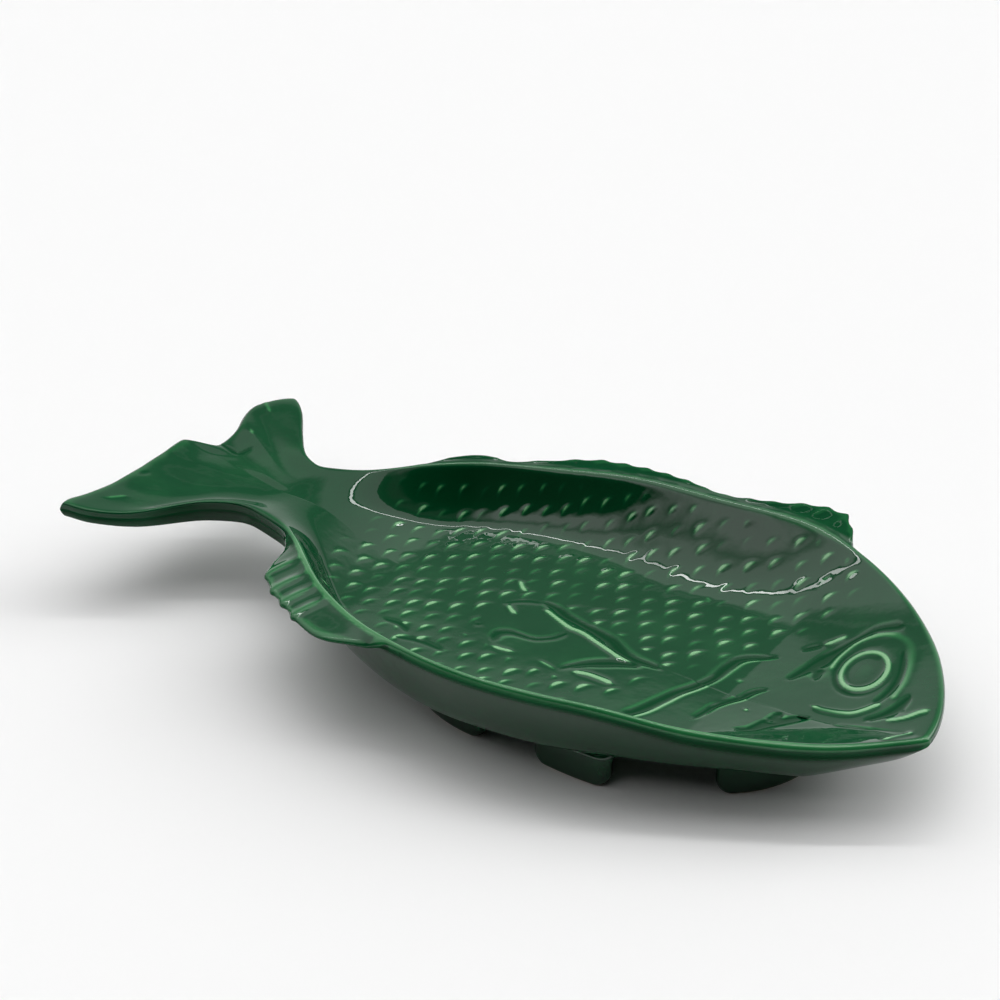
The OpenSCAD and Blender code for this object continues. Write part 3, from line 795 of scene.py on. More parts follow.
@dataclass
class Skin:
    """The moulded skin: one fine net of points round the whole platter, laid in cross-sections.

    Each cross-section is a ring that runs from the middle of the well over the back's rim, under
    the platter, over the belly's rim and back to the middle of the well. The first ring lies at
    the tail's rear edge and the last one at the snout. The grid holds the ring points in rows and
    steps, with x, y, z, the distance past the rim and the share of the upper skin. The index holds
    their numbers in the net.

    The counts that end in _n are steps along the stretches of half a ring: the well, the lip, the
    edge, below the edge, the outer wall and the underside. From the lip to the wall the points are
    then spaced evenly again, rim_n in all. The rows are spaced evenly along the rim, and are finer
    round the tail's rear edge. A face belongs to a fin from fin_from past the rim on.
    """

    body: Body
    tail: Tail
    fins: Sequence[Fin]
    pectoral: PectoralFin
    scales: Scales
    eye: Eye
    uneven: Unevenness
    lay: GlazeLay
    body_rows: int = 430
    tail_rows: int = 84
    rear_rows: int = 8
    rear_turn: float = 1.5
    walk_n: int = 2000
    well_n: int = 130
    lip_n: int = 40
    edge_n: int = 8
    below_n: int = 24
    wall_n: int = 40
    wall_crowd: float = 1.6
    rim_n: int = 96
    under_n: int = 24
    lip_run: float = 6.0
    wall_past: float = 2.0
    round_r: float = 1.9
    round_rounds: int = 18
    root_w: float = 12.0
    root_rounds: int = 110
    fin_from: float = 0.25
    body_from: int = field(init=False)
    grid: np.ndarray = field(init=False)
    index: np.ndarray = field(init=False)
    owner: np.ndarray = field(init=False)
    faces: np.ndarray = field(init=False)
    cap: list[tuple[int, ...]] = field(init=False)
    points: np.ndarray = field(init=False)
    normals: np.ndarray = field(init=False)
    glaze: np.ndarray = field(init=False)
    sheen: np.ndarray = field(init=False)

    @property
    def half(self) -> int:
        """Number of steps from the middle of the well round one rim to the underside's middle."""
        return self.well_n + self.rim_n + self.under_n - 1

    @property
    def step(self) -> np.ndarray:
        """Numbers of the steps round a ring."""
        return np.arange(2 * self.half)

    @property
    def upper(self) -> np.ndarray:
        """True at the ring points of the upper skin."""
        return self.grid[..., UPPER] > 0.5

    def stretches(self, length: np.ndarray, reach: np.ndarray) -> tuple[np.ndarray, np.ndarray]:
        """Places across one half of each cross-section, with sharp edges still.

        Args:
            length: Distance from the middle line to the rim, one for each row.
            reach: Reach of a fin beyond the rim, one for each row.

        Returns:
            Distances out from the rim, negative inside it; and 1 for the upper skin, 0 for the
            lower one and shares between on the edge.
        """
        length, reach = length[:, None], reach[:, None]
        foot = -(self.body.outer_run + self.wall_past)
        spans = ((-length, -self.lip_run, steps(self.well_n), 1.0, 1.0),
                 (-self.lip_run, reach, steps(self.lip_n), 1.0, 1.0),
                 (reach, reach, steps(self.edge_n), 1.0, 0.0),
                 (reach, 0.0 * reach, steps(self.below_n), 0.0, 0.0),
                 (0.0, foot, np.linspace(0.0, 1.0, self.wall_n) ** self.wall_crowd, 0.0, 0.0),
                 (foot, -length, np.linspace(0.0, 1.0, self.under_n + 1)[1:], 0.0, 0.0))
        each = np.ones_like(length)
        q = [mix(start, end, u) * each for start, end, u, _, _ in spans]
        upper = [mix(high, low, u) * each for _, _, u, high, low in spans]
        return np.concatenate(q, 1), np.concatenate(upper, 1)

    def rounded(self, line: np.ndarray) -> np.ndarray:
        """Spaces the rim's points evenly along each cross-section and rounds off its edges.

        Args:
            line: Points of the half sections, in rows, steps and columns that start with x, y, z.

        Returns:
            The half sections with half + 1 points each.
        """
        end = line.shape[1] - self.under_n
        rim = line[:, self.well_n:end]
        step = np.linalg.norm(np.diff(rim[..., :3], axis=1), axis=2)
        run = np.concatenate([np.zeros((len(rim), 1)), np.cumsum(step, 1)], 1)
        even = np.linspace(0.0, 1.0, self.rim_n)
        out = np.stack([np.stack([np.interp(even * r[-1], r, column) for column in row.T], -1)
                        for r, row in zip(run, rim)])
        spacing = run[:, -1] / (self.rim_n - 1)
        pull = self.round_r ** 2 / (2 * self.round_rounds * spacing ** 2)
        pull = np.minimum(pull, MOST_PULL)[:, None, None]
        for _ in range(self.round_rounds):
            out[:, 1:-1] += pull * (out[:, :-2] - 2.0 * out[:, 1:-1] + out[:, 2:])
        return np.concatenate([line[:, :self.well_n], out, line[:, end:]], 1)

    def body_half(self, s: np.ndarray, side: Side) -> np.ndarray:
        """Points of one side of the body's cross-sections.

        Args:
            s: Stations of the rows.
            side: Side of the middle line.

        Returns:
            Rows of points, each with the grid's columns.
        """
        body = self.body
        spine, rim = body.spine(s), body.rim(s, side)
        length = np.linalg.norm(rim - spine, axis=1)
        out = (rim - spine) / length[:, None]
        fin = next(f for f in self.fins if f.side == side)
        share, wave = fin.share(s), fin.wave(s)
        reach = fin.reach * share * (1.0 + fin.scallop * (2.0 * wave - 1.0))
        q, upper = self.stretches(length, reach)
        u = clamp(np.clip(q, 0.0, None) / np.maximum(reach, TINY)[:, None])
        plan = spine[:, None] + out[:, None] * (length[:, None] + q)[..., None]
        plan[..., 0] -= fin.sweep * share[:, None] * u
        x = (spine[:, None] + out[:, None] * (length[:, None] + np.minimum(q, 0.0))[..., None])[..., 0]
        d = np.maximum(-q, 0.0)
        grown = clamp(share * fin.onset)[:, None]
        high = body.inner_z(x, d, side) + (fin.rise * u - fin.step * ease(q / fin.step_run)) * grown
        ray = np.sin(math.pi * np.minimum(u, fin.ray_end))
        high = high + fin.ray_h * wave[:, None] * ray * grown
        edge = body.inner_z(x, np.zeros_like(x), side) + fin.rise * grown - fin.edge_t
        low = body.outer_z(x, d)
        low = np.where(q > 0, mix(low, edge, ease(u)), low)
        return self.rounded(np.concatenate(
            [plan, mix(low, high, upper)[..., None], q[..., None], upper[..., None]], -1))

    def tail_half(self, t: np.ndarray, side: Side) -> np.ndarray:
        """Points of one side of the tail's cross-sections.

        Args:
            t: Shares of the rows, from the root, 0, to the rear edge, 1.
            side: Side of the middle line.

        Returns:
            Rows of points, each with the grid's columns.
        """
        body, tail = self.body, self.tail
        root_w = float(body.half_w(np.zeros(1), side)[0])
        length = tail.half_w(t, side, root_w)
        q, upper = self.stretches(length, np.zeros_like(t))
        v = int(side) * (length[:, None] + q) / length[:, None]
        t = t[:, None] * np.ones_like(v)
        root, d = np.zeros_like(v), np.maximum(-q, 0.0)
        grown = ease(t / tail.root_t)
        high = mix(body.inner_z(root, d, side), tail.top_z(t, v, body), grown)
        low = mix(body.outer_z(root, d), tail.under_z(t, v, body), grown)
        back = clamp((1.0 - t) * -tail.rear_x(v) / tail.rear_r)
        fold = np.maximum(np.sqrt(1.0 - (1.0 - back) ** 2), tail.rear_share)
        z = mix((high + low) / 2, mix(low, high, upper), fold)
        return self.rounded(np.stack([t * tail.rear_x(v), v * length[:, None], z, q, upper], -1))

    def rows(self) -> tuple[np.ndarray, np.ndarray]:
        """Returns the tail's shares, rear edge first, and the body's stations, root first."""
        turn = np.linspace(0, 1, self.rear_rows) * self.rear_turn
        fine = self.tail.rear_r / self.tail.length * (1.0 - np.cos(turn))
        plain = np.linspace(fine[-1], 1.0, self.tail_rows)[1:-1]
        s = np.linspace(0.0, 1.0, self.walk_n)
        walk = sum(np.linalg.norm(np.diff(self.body.rim(s, side), axis=0), axis=1) for side in Side)
        walk = np.concatenate([[0.0], np.cumsum(walk)])
        stations = np.interp(np.linspace(0, walk[-1], self.body_rows), walk, s)
        return 1.0 - np.concatenate([fine, plain]), stations

    def ring(self, back: np.ndarray, belly: np.ndarray) -> np.ndarray:
        """Joins the two halves of each cross-section into closed rings."""
        shared = (back[:, :1] + belly[:, :1]) / 2
        last = (back[:, -1:] + belly[:, -1:]) / 2
        return np.concatenate([shared, back[:, 1:-1], last, belly[:, -2:0:-1]], 1)

    def weld(self, rows: int) -> np.ndarray:
        """Returns each ring point's number, with the snout's folded ring sharing its points."""
        n = 2 * self.half
        index = np.arange(rows * n).reshape(rows, n)
        for j in range(1, self.half):
            index[-1, n - j] = index[-1, j]
        return index

    def rear_cap(self, index: np.ndarray, across: np.ndarray) -> list[tuple[int, ...]]:
        """Faces that close the tail's rear edge between its upper and its lower skin.

        Args:
            index: Numbers of the first ring's points.
            across: Their places across the tail, greatest and least on its two side edges.

        Returns:
            Triangles, facing backwards.
        """
        far, near = int(np.argmax(across)), int(np.argmin(across))
        top = list(range(near, len(index))) + list(range(0, far + 1))
        low = list(range(near, far - 1, -1))
        faces, a, b = [], 0, 0
        while a < len(top) - 1 or b < len(low) - 1:
            step_top = b == len(low) - 1 or (
                a < len(top) - 1 and across[top[a + 1]] <= across[low[b + 1]])
            if step_top:
                faces.append((index[top[a]], index[top[a + 1]], index[low[b]]))
                a += 1
            else:
                faces.append((index[top[a]], index[low[b + 1]], index[low[b]]))
                b += 1
        return [tuple(int(k) for k in f) for f in faces if len(set(f)) == 3]

    def vertex_normals(self, points: np.ndarray) -> np.ndarray:
        """Returns the skin's normals at its points, from the faces round each."""
        a, b, c, d = (points[self.faces[:, k]] for k in range(4))
        across = np.cross(c - a, d - b)
        total = np.zeros_like(points)
        for k in range(4):
            np.add.at(total, self.faces[:, k], across)
        length = np.linalg.norm(total, axis=1, keepdims=True)
        return total / np.where(length > 0.0, length, 1.0)

    def ease_root(self) -> None:
        """Rounds off the seam where the tail's cross-sections meet the body's."""
        xyz = self.grid[..., :3]
        near = peak(np.arange(len(xyz)) - self.body_from, self.root_w)
        pull = MOST_PULL * near[1:-1, None, None]
        for _ in range(self.root_rounds):
            xyz[1:-1] += pull * (xyz[:-2] - 2.0 * xyz[1:-1] + xyz[2:])

    def blurred(self, values: np.ndarray, rounds: int) -> np.ndarray:
        """Returns the ring points' values averaged with their neighbours' in both directions."""
        for _ in range(rounds):
            values = 0.5 * values + 0.25 * (np.roll(values, 1, 1) + np.roll(values, -1, 1))
            up, down = np.roll(values, -1, 0), np.roll(values, 1, 0)
            up[-1], down[0] = values[-1], values[0]
            values = 0.5 * values + 0.25 * (up + down)
        return values

    def numbered(self, values: np.ndarray) -> np.ndarray:
        """Returns the ring points' values in the order of the points' numbers."""
        out = np.zeros((self.index.size, *values.shape[2:]))
        out[self.index.ravel()] = values.reshape(out.shape)
        return out

    def unfolded(self) -> np.ndarray:
        """Returns the ring points' places across the platter, measured along the skin."""
        step = np.diff(self.grid[..., :3], axis=1, append=self.grid[:, :1, :3])
        extra = np.linalg.norm(step, axis=2) - np.linalg.norm(step[..., :2], axis=2)
        on_back = np.cumsum(extra, 1) - extra
        on_belly = np.cumsum(extra[:, ::-1], 1)[:, ::-1]
        return self.grid[..., 1] + np.where(self.step < self.half, on_back, -on_belly)

    def relief(self) -> np.ndarray:
        """Returns the heights of the carving and the scales over the plain skin, by number."""
        x, y, q = self.grid[..., 0], self.grid[..., 1], self.grid[..., PAST]
        bumps = self.scales.relief(x.ravel(), self.unfolded().ravel()).reshape(x.shape)
        bumps = bumps * self.scales.cover(x, y, q) * ~self.pectoral.covers(x, y)
        body = np.arange(len(self.grid))[:, None] >= self.body_from
        height = np.zeros(self.index.size)
        height[self.index[self.upper & body]] = bumps[self.upper & body]
        plan = self.numbered(self.grid[..., :2])
        for rows, strokes in ((body, BODY_STROKES), (~body, TAIL_STROKES)):
            used = np.unique(self.index[self.upper & rows])
            xy, carved = plan[used], height[used]
            for stroke in strokes:
                stroke.add_to(xy, carved)
                LOG.debug("carved %s", stroke.name)
            height[used] = carved
        used = np.unique(self.index[self.upper & body])
        height[used] += self.eye.relief(plan[used])
        return height

    def build(self) -> None:
        """Lays out the net of points, carves it and measures the glaze over it, with its painted shade
        and highlights.
        """
        t, s = self.rows()
        self.body_from = len(t)
        tail = self.ring(self.tail_half(t, Side.BACK), self.tail_half(t, Side.BELLY))
        body = self.ring(self.body_half(s, Side.BACK), self.body_half(s, Side.BELLY))
        self.grid = np.concatenate([tail, body])
        self.ease_root()
        self.index = self.weld(len(self.grid))
        here, along = self.index[:-1], self.index[1:]
        quads = (here, along, np.roll(along, -1, 1), np.roll(here, -1, 1))
        self.faces = np.stack(quads, -1).reshape(-1, 4)
        self.cap = self.rear_cap(self.index[0], self.grid[0, :, 1])
        points = self.numbered(self.grid[..., :3])
        lay, clay = self.lay, self.relief()[self.index]
        raised, cut = np.clip(clay, 0.0, None), np.clip(-clay, 0.0, None)
        flooded = self.blurred(raised, lay.flood_rounds) * lay.shows_through
        flooded -= self.blurred(cut, lay.flood_rounds) * lay.cut_through
        smooth = self.vertex_normals(points)
        points += smooth * (self.numbered(flooded) + self.uneven.at(points))[:, None]
        self.points, self.normals = points, self.vertex_normals(points)
        self.glaze = self.numbered(self.glaze_with_painted_light(raised, cut, smooth[self.index][..., 2]))
        self.sheen = self.numbered(self.shine(cut))
        self.mark_parts()

    def glaze_with_painted_light(self, raised: np.ndarray, cut: np.ndarray, up: np.ndarray) -> np.ndarray:
        """How far the glaze runs thin or pools, with painted shade down steep walls and a painted
        highlight on crests.

        Args:
            raised: Heights of what the relief adds, at the ring points.
            cut: Depths of what it takes away.
            up: Upward share of the plain skin's normals.

        Returns:
            The glaze values at the ring points.
        """
        lay, x, past = self.lay, self.grid[..., 0], self.grid[..., PAST]
        # Steep walls darken: partly pooled glaze, partly painted shade.
        steep = clamp((lay.wall_up - up) / lay.wall_over)
        steep *= np.where(self.upper, lay.inner_wall, 1.0)
        net = self.points[self.index]
        # Convex crests turn pale: partly thin glaze, partly a painted highlight, weaker on back, tail
        # and fins.
        bend = ((net - self.blurred(net, lay.crest_rounds)) * self.normals[self.index]).sum(-1)
        crest = np.clip((bend - lay.crest_from) * lay.crest_gain, 0.0, lay.crest_most)
        by_side = np.where(self.step < self.half, lay.back_crest, 1.0)
        crest *= by_side * mix(lay.tail_crest, 1.0, grow(x, lay.tail_crest_in))
        crest *= 1.0 - lay.fin_crest_loss * grow(past, lay.fin_in)
        sharp = np.clip(raised - self.blurred(raised, lay.thin_rounds), 0.0, None)
        thin = np.minimum(lay.thin_gain * sharp, lay.thin_most)
        pooled = np.minimum(lay.pool_gain * cut, lay.pool_most)
        return thin + crest - pooled - lay.wall_pool_and_shade * steep

    def shine(self, cut: np.ndarray) -> np.ndarray:
        """Returns the glaze's share of full sheen, from the cuts' depths; the dulling in cuts is painted
        shade.
        """
        lay = self.lay
        # Cuts dull the gloss: painted shade for the dark that they would mirror.
        dull = clamp((cut - lay.sheen_from) / lay.sheen_over)
        on_fin = grow(self.grid[..., PAST], lay.fin_in) * (self.step < self.half)
        # Dulled gloss on the lip's shoulder: a painted dark band for the dark room that it would mirror.
        shaded = 1.0 - lay.shoulder_shade * self.shoulder()
        shaded = shaded * (1.0 - lay.fin_sheen_loss * on_fin)
        shaded *= mix(lay.tail_sheen, 1.0, grow(self.grid[..., 0], lay.tail_sheen_in))
        return mix(1.0, lay.sheen_least, dull) * shaded

    def shoulder(self) -> np.ndarray:
        """Returns 1 on the shoulder just under the lip's crest, where dulled gloss paints shade, and 0
        away.
        """
        lay, x, z = self.lay, self.grid[..., 0], self.grid[..., 2]
        at = np.minimum(self.step, 2 * self.half - self.step)
        larger = 1.0 + lay.head_growth * grow(x, lay.head_in)
        out = np.zeros(x.shape)
        for side in (self.step < self.half, self.step >= self.half):
            top = z[:, side & (at >= self.well_n)].max(1)[:, None]
            below = (top - z) / larger - lay.shoulder_d
            edge = side & (self.grid[..., UPPER] < lay.shoulder_upper)
            out = np.where(edge, bell(below, lay.shoulder_w), out)
        return out

    def mark_parts(self) -> None:
        """Divides the faces among the pieces."""
        grid, step = self.grid, self.step
        mid = (grid[:-1] + grid[1:] + np.roll(grid[:-1], -1, 1) + np.roll(grid[1:], -1, 1)) / 4
        body = np.arange(len(mid))[:, None] >= self.body_from
        self.owner = np.where(body, Part.DISH.number, Part.TAIL.number) * np.ones_like(step)
        for fin in self.fins:
            on_side = (step < self.half) == (fin.side == Side.BACK)
            self.owner[body & on_side & (mid[..., PAST] > self.fin_from)] = fin.part.number
        in_well = body & ((step < self.well_n) | (step >= len(step) - self.well_n))
        share = self.eye.share(mid[..., :2].reshape(-1, 2)).reshape(mid.shape[:2])
        covered = ((Part.PECTORAL, self.pectoral.covers(mid[..., 0], mid[..., 1])),
                   (Part.EYE_RING, share < self.eye.ring_past),
                   (Part.EYE_PUPIL, share < self.eye.pupil_share))
        for part, inside in covered:
            self.owner[in_well & inside] = part.number

    def piece(self, part: Part, origin: np.ndarray) -> bpy.types.Object:
        """Makes the object of one piece of the skin.

        Args:
            part: The piece.
            origin: Place of the platter's own origin in the frame, in metres.

        Returns:
            The new object, with smooth normals and the two glaze attributes.
        """
        faces = self.faces[self.owner.ravel() == part.number]
        faces = [tuple(dict.fromkeys(f)) for f in faces.tolist()]
        if part is Part.TAIL:
            faces += self.cap
        faces = [f for f in faces if len(f) > 2]
        used = np.unique(np.concatenate([np.asarray(f) for f in faces]))
        number = {int(k): i for i, k in enumerate(used)}
        faces = [[number[k] for k in f] for f in faces]
        obj = add_mesh(part.value + "_glazed", self.points[used] * MM + origin, faces)
        mesh = obj.data
        mesh.polygons.foreach_set("use_smooth", [True] * len(faces))
        mesh.normals_split_custom_set_from_vertices(self.normals[used].tolist())
        for name, values in (("glaze_relief", self.glaze), ("glaze_sheen", self.sheen)):
            mesh.attributes.new(name, "FLOAT", "POINT").data.foreach_set("value", values[used])
        return obj


@dataclass
class Foot:
    """One arc of the foot ring, with rounded corners and a fillet where it is luted on.

    The fillet sets in at a share of the height. Past its height the foot is sunk into the
    underside, where its outer side leans in. Its ends are rounded by the corner near the sole.
    """

    node: str
    radius: float
    centre: tuple[float, float]
    facing: float
    half_angle: float
    height: float = 14.0
    thickness: float = 6.0
    taper: float = 1.6
    arris: float = 1.2
    corner: float = 5.0
    corner_most: float = 0.999
    fillet: float = 1.0
    fillet_in: Span = (0.55, 0.45)
    sunk: float = 4.0
    sunk_lean: float = 1.1
    turn_n: int = 5
    level_n: int = 16
    end_n: int = 13
    side_n: int = 61

    def levels(self) -> np.ndarray:
        """Returns the heights of the foot's horizontal slices."""
        low = self.arris * (1.0 - np.cos(np.linspace(0.0, math.pi / 2, self.turn_n)))
        sunk = self.height + self.sunk * np.linspace(0.0, 1.0, self.turn_n)[1:]
        return np.concatenate([low, np.linspace(self.arris, self.height, self.level_n)[1:], sunk])

    def slice_at(self, z: float) -> list[tuple[float, float, float]]:
        """Outline of the foot at one height.

        Args:
            z: Height of the slice.

        Returns:
            Points round the slice.
        """
        start, over = self.fillet_in
        up = max(z - self.height * start, 0.0) / (self.height * over)
        flare = min(self.fillet * up ** 2, self.fillet)
        edge = max(1.0 - z / self.arris, 0.0)
        arris = self.arris * (1.0 - math.sqrt(1.0 - edge ** 2))
        tall = min(max(1.0 - z / self.corner, 0.0), self.corner_most)
        turned = self.corner * (1.0 - math.sqrt(1.0 - tall ** 2))
        slope = self.taper * min(z / self.height, 1.0)
        outer = self.radius - self.taper + slope - arris + flare
        outer -= self.sunk_lean * max(z - self.height, 0.0)
        inner = self.radius - self.taper - self.thickness - slope + arris - flare
        middle, half = (outer + inner) / 2, (outer - inner) / 2
        straight = self.radius * math.radians(self.half_angle) - turned + 2.0 * flare - half
        bend = [(half * math.cos(a), half * math.sin(a))
                for a in np.linspace(0, math.pi, self.end_n)[1:-1]]
        side = np.linspace(-1.0, 1.0, self.side_n)
        loop = [(outer, straight * k) for k in side]
        loop += [(middle + u, straight + v) for u, v in bend]
        loop += [(inner, -straight * k) for k in side]
        loop += [(middle - u, -straight - v) for u, v in bend]
        turn = math.radians(self.facing)
        return [(self.centre[0] + reach * math.cos(turn + run / self.radius),
                 self.centre[1] + reach * math.sin(turn + run / self.radius), z)
                for reach, run in loop]

    def build(self, origin: np.ndarray) -> bpy.types.Object:
        """Makes the foot's object.

        Args:
            origin: Place of the platter's own origin in the frame, in metres.

        Returns:
            The new object.
        """
        rings = [self.slice_at(float(z)) for z in self.levels()]
        n, last = len(rings[0]), len(rings) - 1
        faces = [(i * n + k, i * n + (k + 1) % n, (i + 1) * n + (k + 1) % n, (i + 1) * n + k)
                 for i in range(last) for k in range(n)]
        faces += [tuple(range(n - 1, -1, -1)), tuple(range(last * n, last * n + n))]
        places = np.array([p for ring in rings for p in ring]) * MM + origin
        obj = add_mesh(self.node + "_glazed", places, faces)
        obj.data.polygons.foreach_set("use_smooth", [len(f) == 4 for f in faces])
        return obj


@dataclass
class FootRing:
    """Layout of the foot ring: two Us on circles, under the tail half and the head, and two sides.

    The circles' centres lie a little off the middle line, towards the back. Angles are in degrees,
    half of what each arc covers.
    """

    tail_at: float = 113.0
    tail_r: float = 57.0
    tail_half: float = 94.0
    head_at: float = 178.0
    head_r: float = 43.0
    head_half: float = 60.0
    side_share: float = 0.6
    side_r: float = 120.0
    side_half: float = 7.5
    shift: float = 3.0

    def arcs(self) -> list[Foot]:
        """Returns the four arcs."""
        side_at = mix(self.tail_at, self.head_at, self.side_share)
        past = self.side_r - self.tail_r
        return [
            Foot("foot_tail", self.tail_r, (self.tail_at, self.shift), 180.0, self.tail_half),
            Foot("foot_head", self.head_r, (self.head_at, self.shift), 0.0, self.head_half),
            Foot("foot_belly", self.side_r, (side_at, self.shift + past), -90.0, self.side_half),
            Foot("foot_back", self.side_r, (side_at, self.shift - past), 90.0, self.side_half),
        ]

    def origin(self) -> np.ndarray:
        """Returns where the platter's own origin lies in the frame, from its CAD nodes' boxes."""
        dish_low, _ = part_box("dish")
        foot_low, foot_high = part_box("foot_head")
        return np.array([dish_low.x, (foot_low.y + foot_high.y) / 2 - self.shift * MM, 0.0])


def add_mesh(name: str, points: np.ndarray, faces: Sequence[Sequence[int]]) -> bpy.types.Object:
    """Adds a mesh object to the scene.

    Args:
        name: Name of the object and of its mesh.
        points: Places of its points in the frame, in metres.
        faces: Numbers of the points round each face.

    Returns:
        The new object.
    """
    mesh = bpy.data.meshes.new(name)
    mesh.from_pydata(points.tolist(), [], faces)
    obj = bpy.data.objects.new(name, mesh)
    bpy.context.scene.collection.objects.link(obj)
    return obj


def add_node(tree: Tree, kind: str, settings: dict | None = None,
             **links: Socket | float | tuple) -> bpy.types.Node:
    """Adds a node to a tree with its settings and its links.

    Args:
        tree: Node tree that gets the node.
        kind: Blender's name for the kind of node.
        settings: Values for the node's own properties.
        **links: For each input, by its name with _ for a space or by in and its number, a socket
            to link or a value.

    Returns:
        The new node.
    """
    node = tree.nodes.new(kind)
    for name, value in (settings or {}).items():
        setattr(node, name, value)
    for name, value in links.items():
        key = int(name[2:]) if name.startswith("in") and name[2:].isdigit() else name.replace("_", " ")
        if isinstance(value, Socket):
            tree.links.new(value, node.inputs[key])
        else:
            node.inputs[key].default_value = value
    return node


def between(ends: Span, low: float = 0.0, high: float = 1.0) -> dict[str, float]:
    """Returns a map range's inputs, by which it goes from low to high between the two ends."""
    return {"From_Min": ends[0], "From_Max": ends[1], "To_Min": low, "To_Max": high}


@dataclass(frozen=True)
class GreenGlaze:
    """Transparent copper-green glaze, dipped over a moulded earthenware body.

    It breaks pale over raised edges, where it runs thin, and pools almost black-green in the
    carving. Its surface is as smooth as glass, so it mirrors the studio sharply. Each colour has
    its place on the scale that the glaze values, held between the relief's ends, are spread over.
    These values also bring painted shade down steep walls and a painted highlight along crests,
    and the sheen value dulls the coat as painted shade in cuts and under the lip.
    """

    name: str = "copper_green_glaze"
    pooled: str = "#023016"
    pooled_at: float = 0.06
    full: str = "#054727"
    full_at: float = 0.333
    thin: str = "#2b7643"
    thin_at: float = 0.6
    bare: str = "#86bb8a"
    bare_at: float = 0.93
    relief_ends: Span = (-0.5, 1.0)
    roughness: float = 0.32
    coat_roughness: float = 0.02
    ior: float = 1.5
    cloud_mm: float = 22.0
    cloud_detail: float = 3.0
    cloud_roughness: float = 0.55
    cloud_ends: Span = (0.3, 0.7)
    drift: float = 0.03
    grain_mm: float = 6.0
    grain_detail: float = 2.0
    grain_strength: float = 0.12
    grain_h: float = 0.6
    wiped_foot: bool = False
    wiped_ends: Span = (0.4 * MM, 0.7 * MM)
    clay: str = "#a98a66"

    def colour(self, tree: Tree, place: Socket) -> Socket:
        """Adds the nodes of the glaze's colour.

        Args:
            tree: The material's node tree.
            place: The points' places on the piece.

        Returns:
            The socket with the colour.
        """
        relief = add_node(tree, "ShaderNodeAttribute", {"attribute_name": "glaze_relief"})
        clouds = add_node(tree, "ShaderNodeTexNoise", Vector=place, Scale=1.0 / (self.cloud_mm * MM),
                          Detail=self.cloud_detail, Roughness=self.cloud_roughness)
        drift = add_node(tree, "ShaderNodeMapRange", Value=clouds.outputs["Fac"],
                         **between(self.cloud_ends, -self.drift, self.drift))
        level = add_node(tree, "ShaderNodeMapRange", Value=relief.outputs["Fac"],
                         **between(self.relief_ends))
        total = add_node(tree, "ShaderNodeMath", {"operation": "ADD"},
                         in0=level.outputs["Result"], in1=drift.outputs["Result"])
        ramp = add_node(tree, "ShaderNodeValToRGB", Fac=total.outputs["Value"])
        stops = ramp.color_ramp.elements
        stops[0].position, stops[0].color = self.pooled_at, linear(self.pooled)
        stops[1].position, stops[1].color = self.bare_at, linear(self.bare)
        for position, colour in ((self.full_at, self.full), (self.thin_at, self.thin)):
            stops.new(position).color = linear(colour)
        if not self.wiped_foot:
            return ramp.outputs["Color"]
        height = add_node(tree, "ShaderNodeSeparateXYZ", Vector=place)
        wiped = add_node(tree, "ShaderNodeMapRange", Value=height.outputs["Z"],
                         **between(self.wiped_ends, 1.0, 0.0))
        sole = add_node(tree, "ShaderNodeMix", {"data_type": "RGBA"}, in0=wiped.outputs["Result"],
                        in6=ramp.outputs["Color"], in7=linear(self.clay))
        return sole.outputs[2]

    def material(self) -> bpy.types.Material:
        """Returns the glaze as a material, which follows the pieces' two glaze attributes."""
        material = bpy.data.materials.new(self.name)
        material.use_nodes = True
        tree = material.node_tree
        tree.nodes.clear()
        place = add_node(tree, "ShaderNodeTexCoord").outputs["Object"]
        sheen = add_node(tree, "ShaderNodeAttribute", {"attribute_name": "glaze_sheen"})
        grain = add_node(tree, "ShaderNodeTexNoise", Vector=place, Scale=1.0 / (self.grain_mm * MM),
                         Detail=self.grain_detail)
        bump = add_node(tree, "ShaderNodeBump", Strength=self.grain_strength,
                        Distance=self.grain_h * MM, Height=grain.outputs["Fac"])
        # Coat weight follows the sheen value, which carries painted shade in cuts and under the lip.
        shader = add_node(tree, "ShaderNodeBsdfPrincipled", Base_Color=self.colour(tree, place),
                          Roughness=self.roughness, IOR=self.ior, Specular_IOR_Level=0.0,
                          Coat_Weight=1.0 if self.wiped_foot else sheen.outputs["Fac"],
                          Coat_Roughness=self.coat_roughness, Coat_IOR=self.ior,
                          Normal=bump.outputs["Normal"], Coat_Normal=bump.outputs["Normal"])
        add_node(tree, "ShaderNodeOutputMaterial", Surface=shader.outputs["BSDF"])
        return material


@dataclass(frozen=True)
class PaleSweep:
    """Matt white paper sweep that the platter stands on."""

    name: str = "white_paper"
    colour: str = "#f4f4f4"
    roughness: float = 0.9
    specular: float = 0.1

    def material(self) -> bpy.types.Material:
        """Returns the paper as a plain matt material."""
        material = bpy.data.materials.new(self.name)
        material.use_nodes = True
        shader = material.node_tree.nodes["Principled BSDF"]
        shader.inputs["Base Color"].default_value = linear(self.colour)
        shader.inputs["Roughness"].default_value = self.roughness
        shader.inputs["Specular IOR Level"].default_value = self.specular
        return material


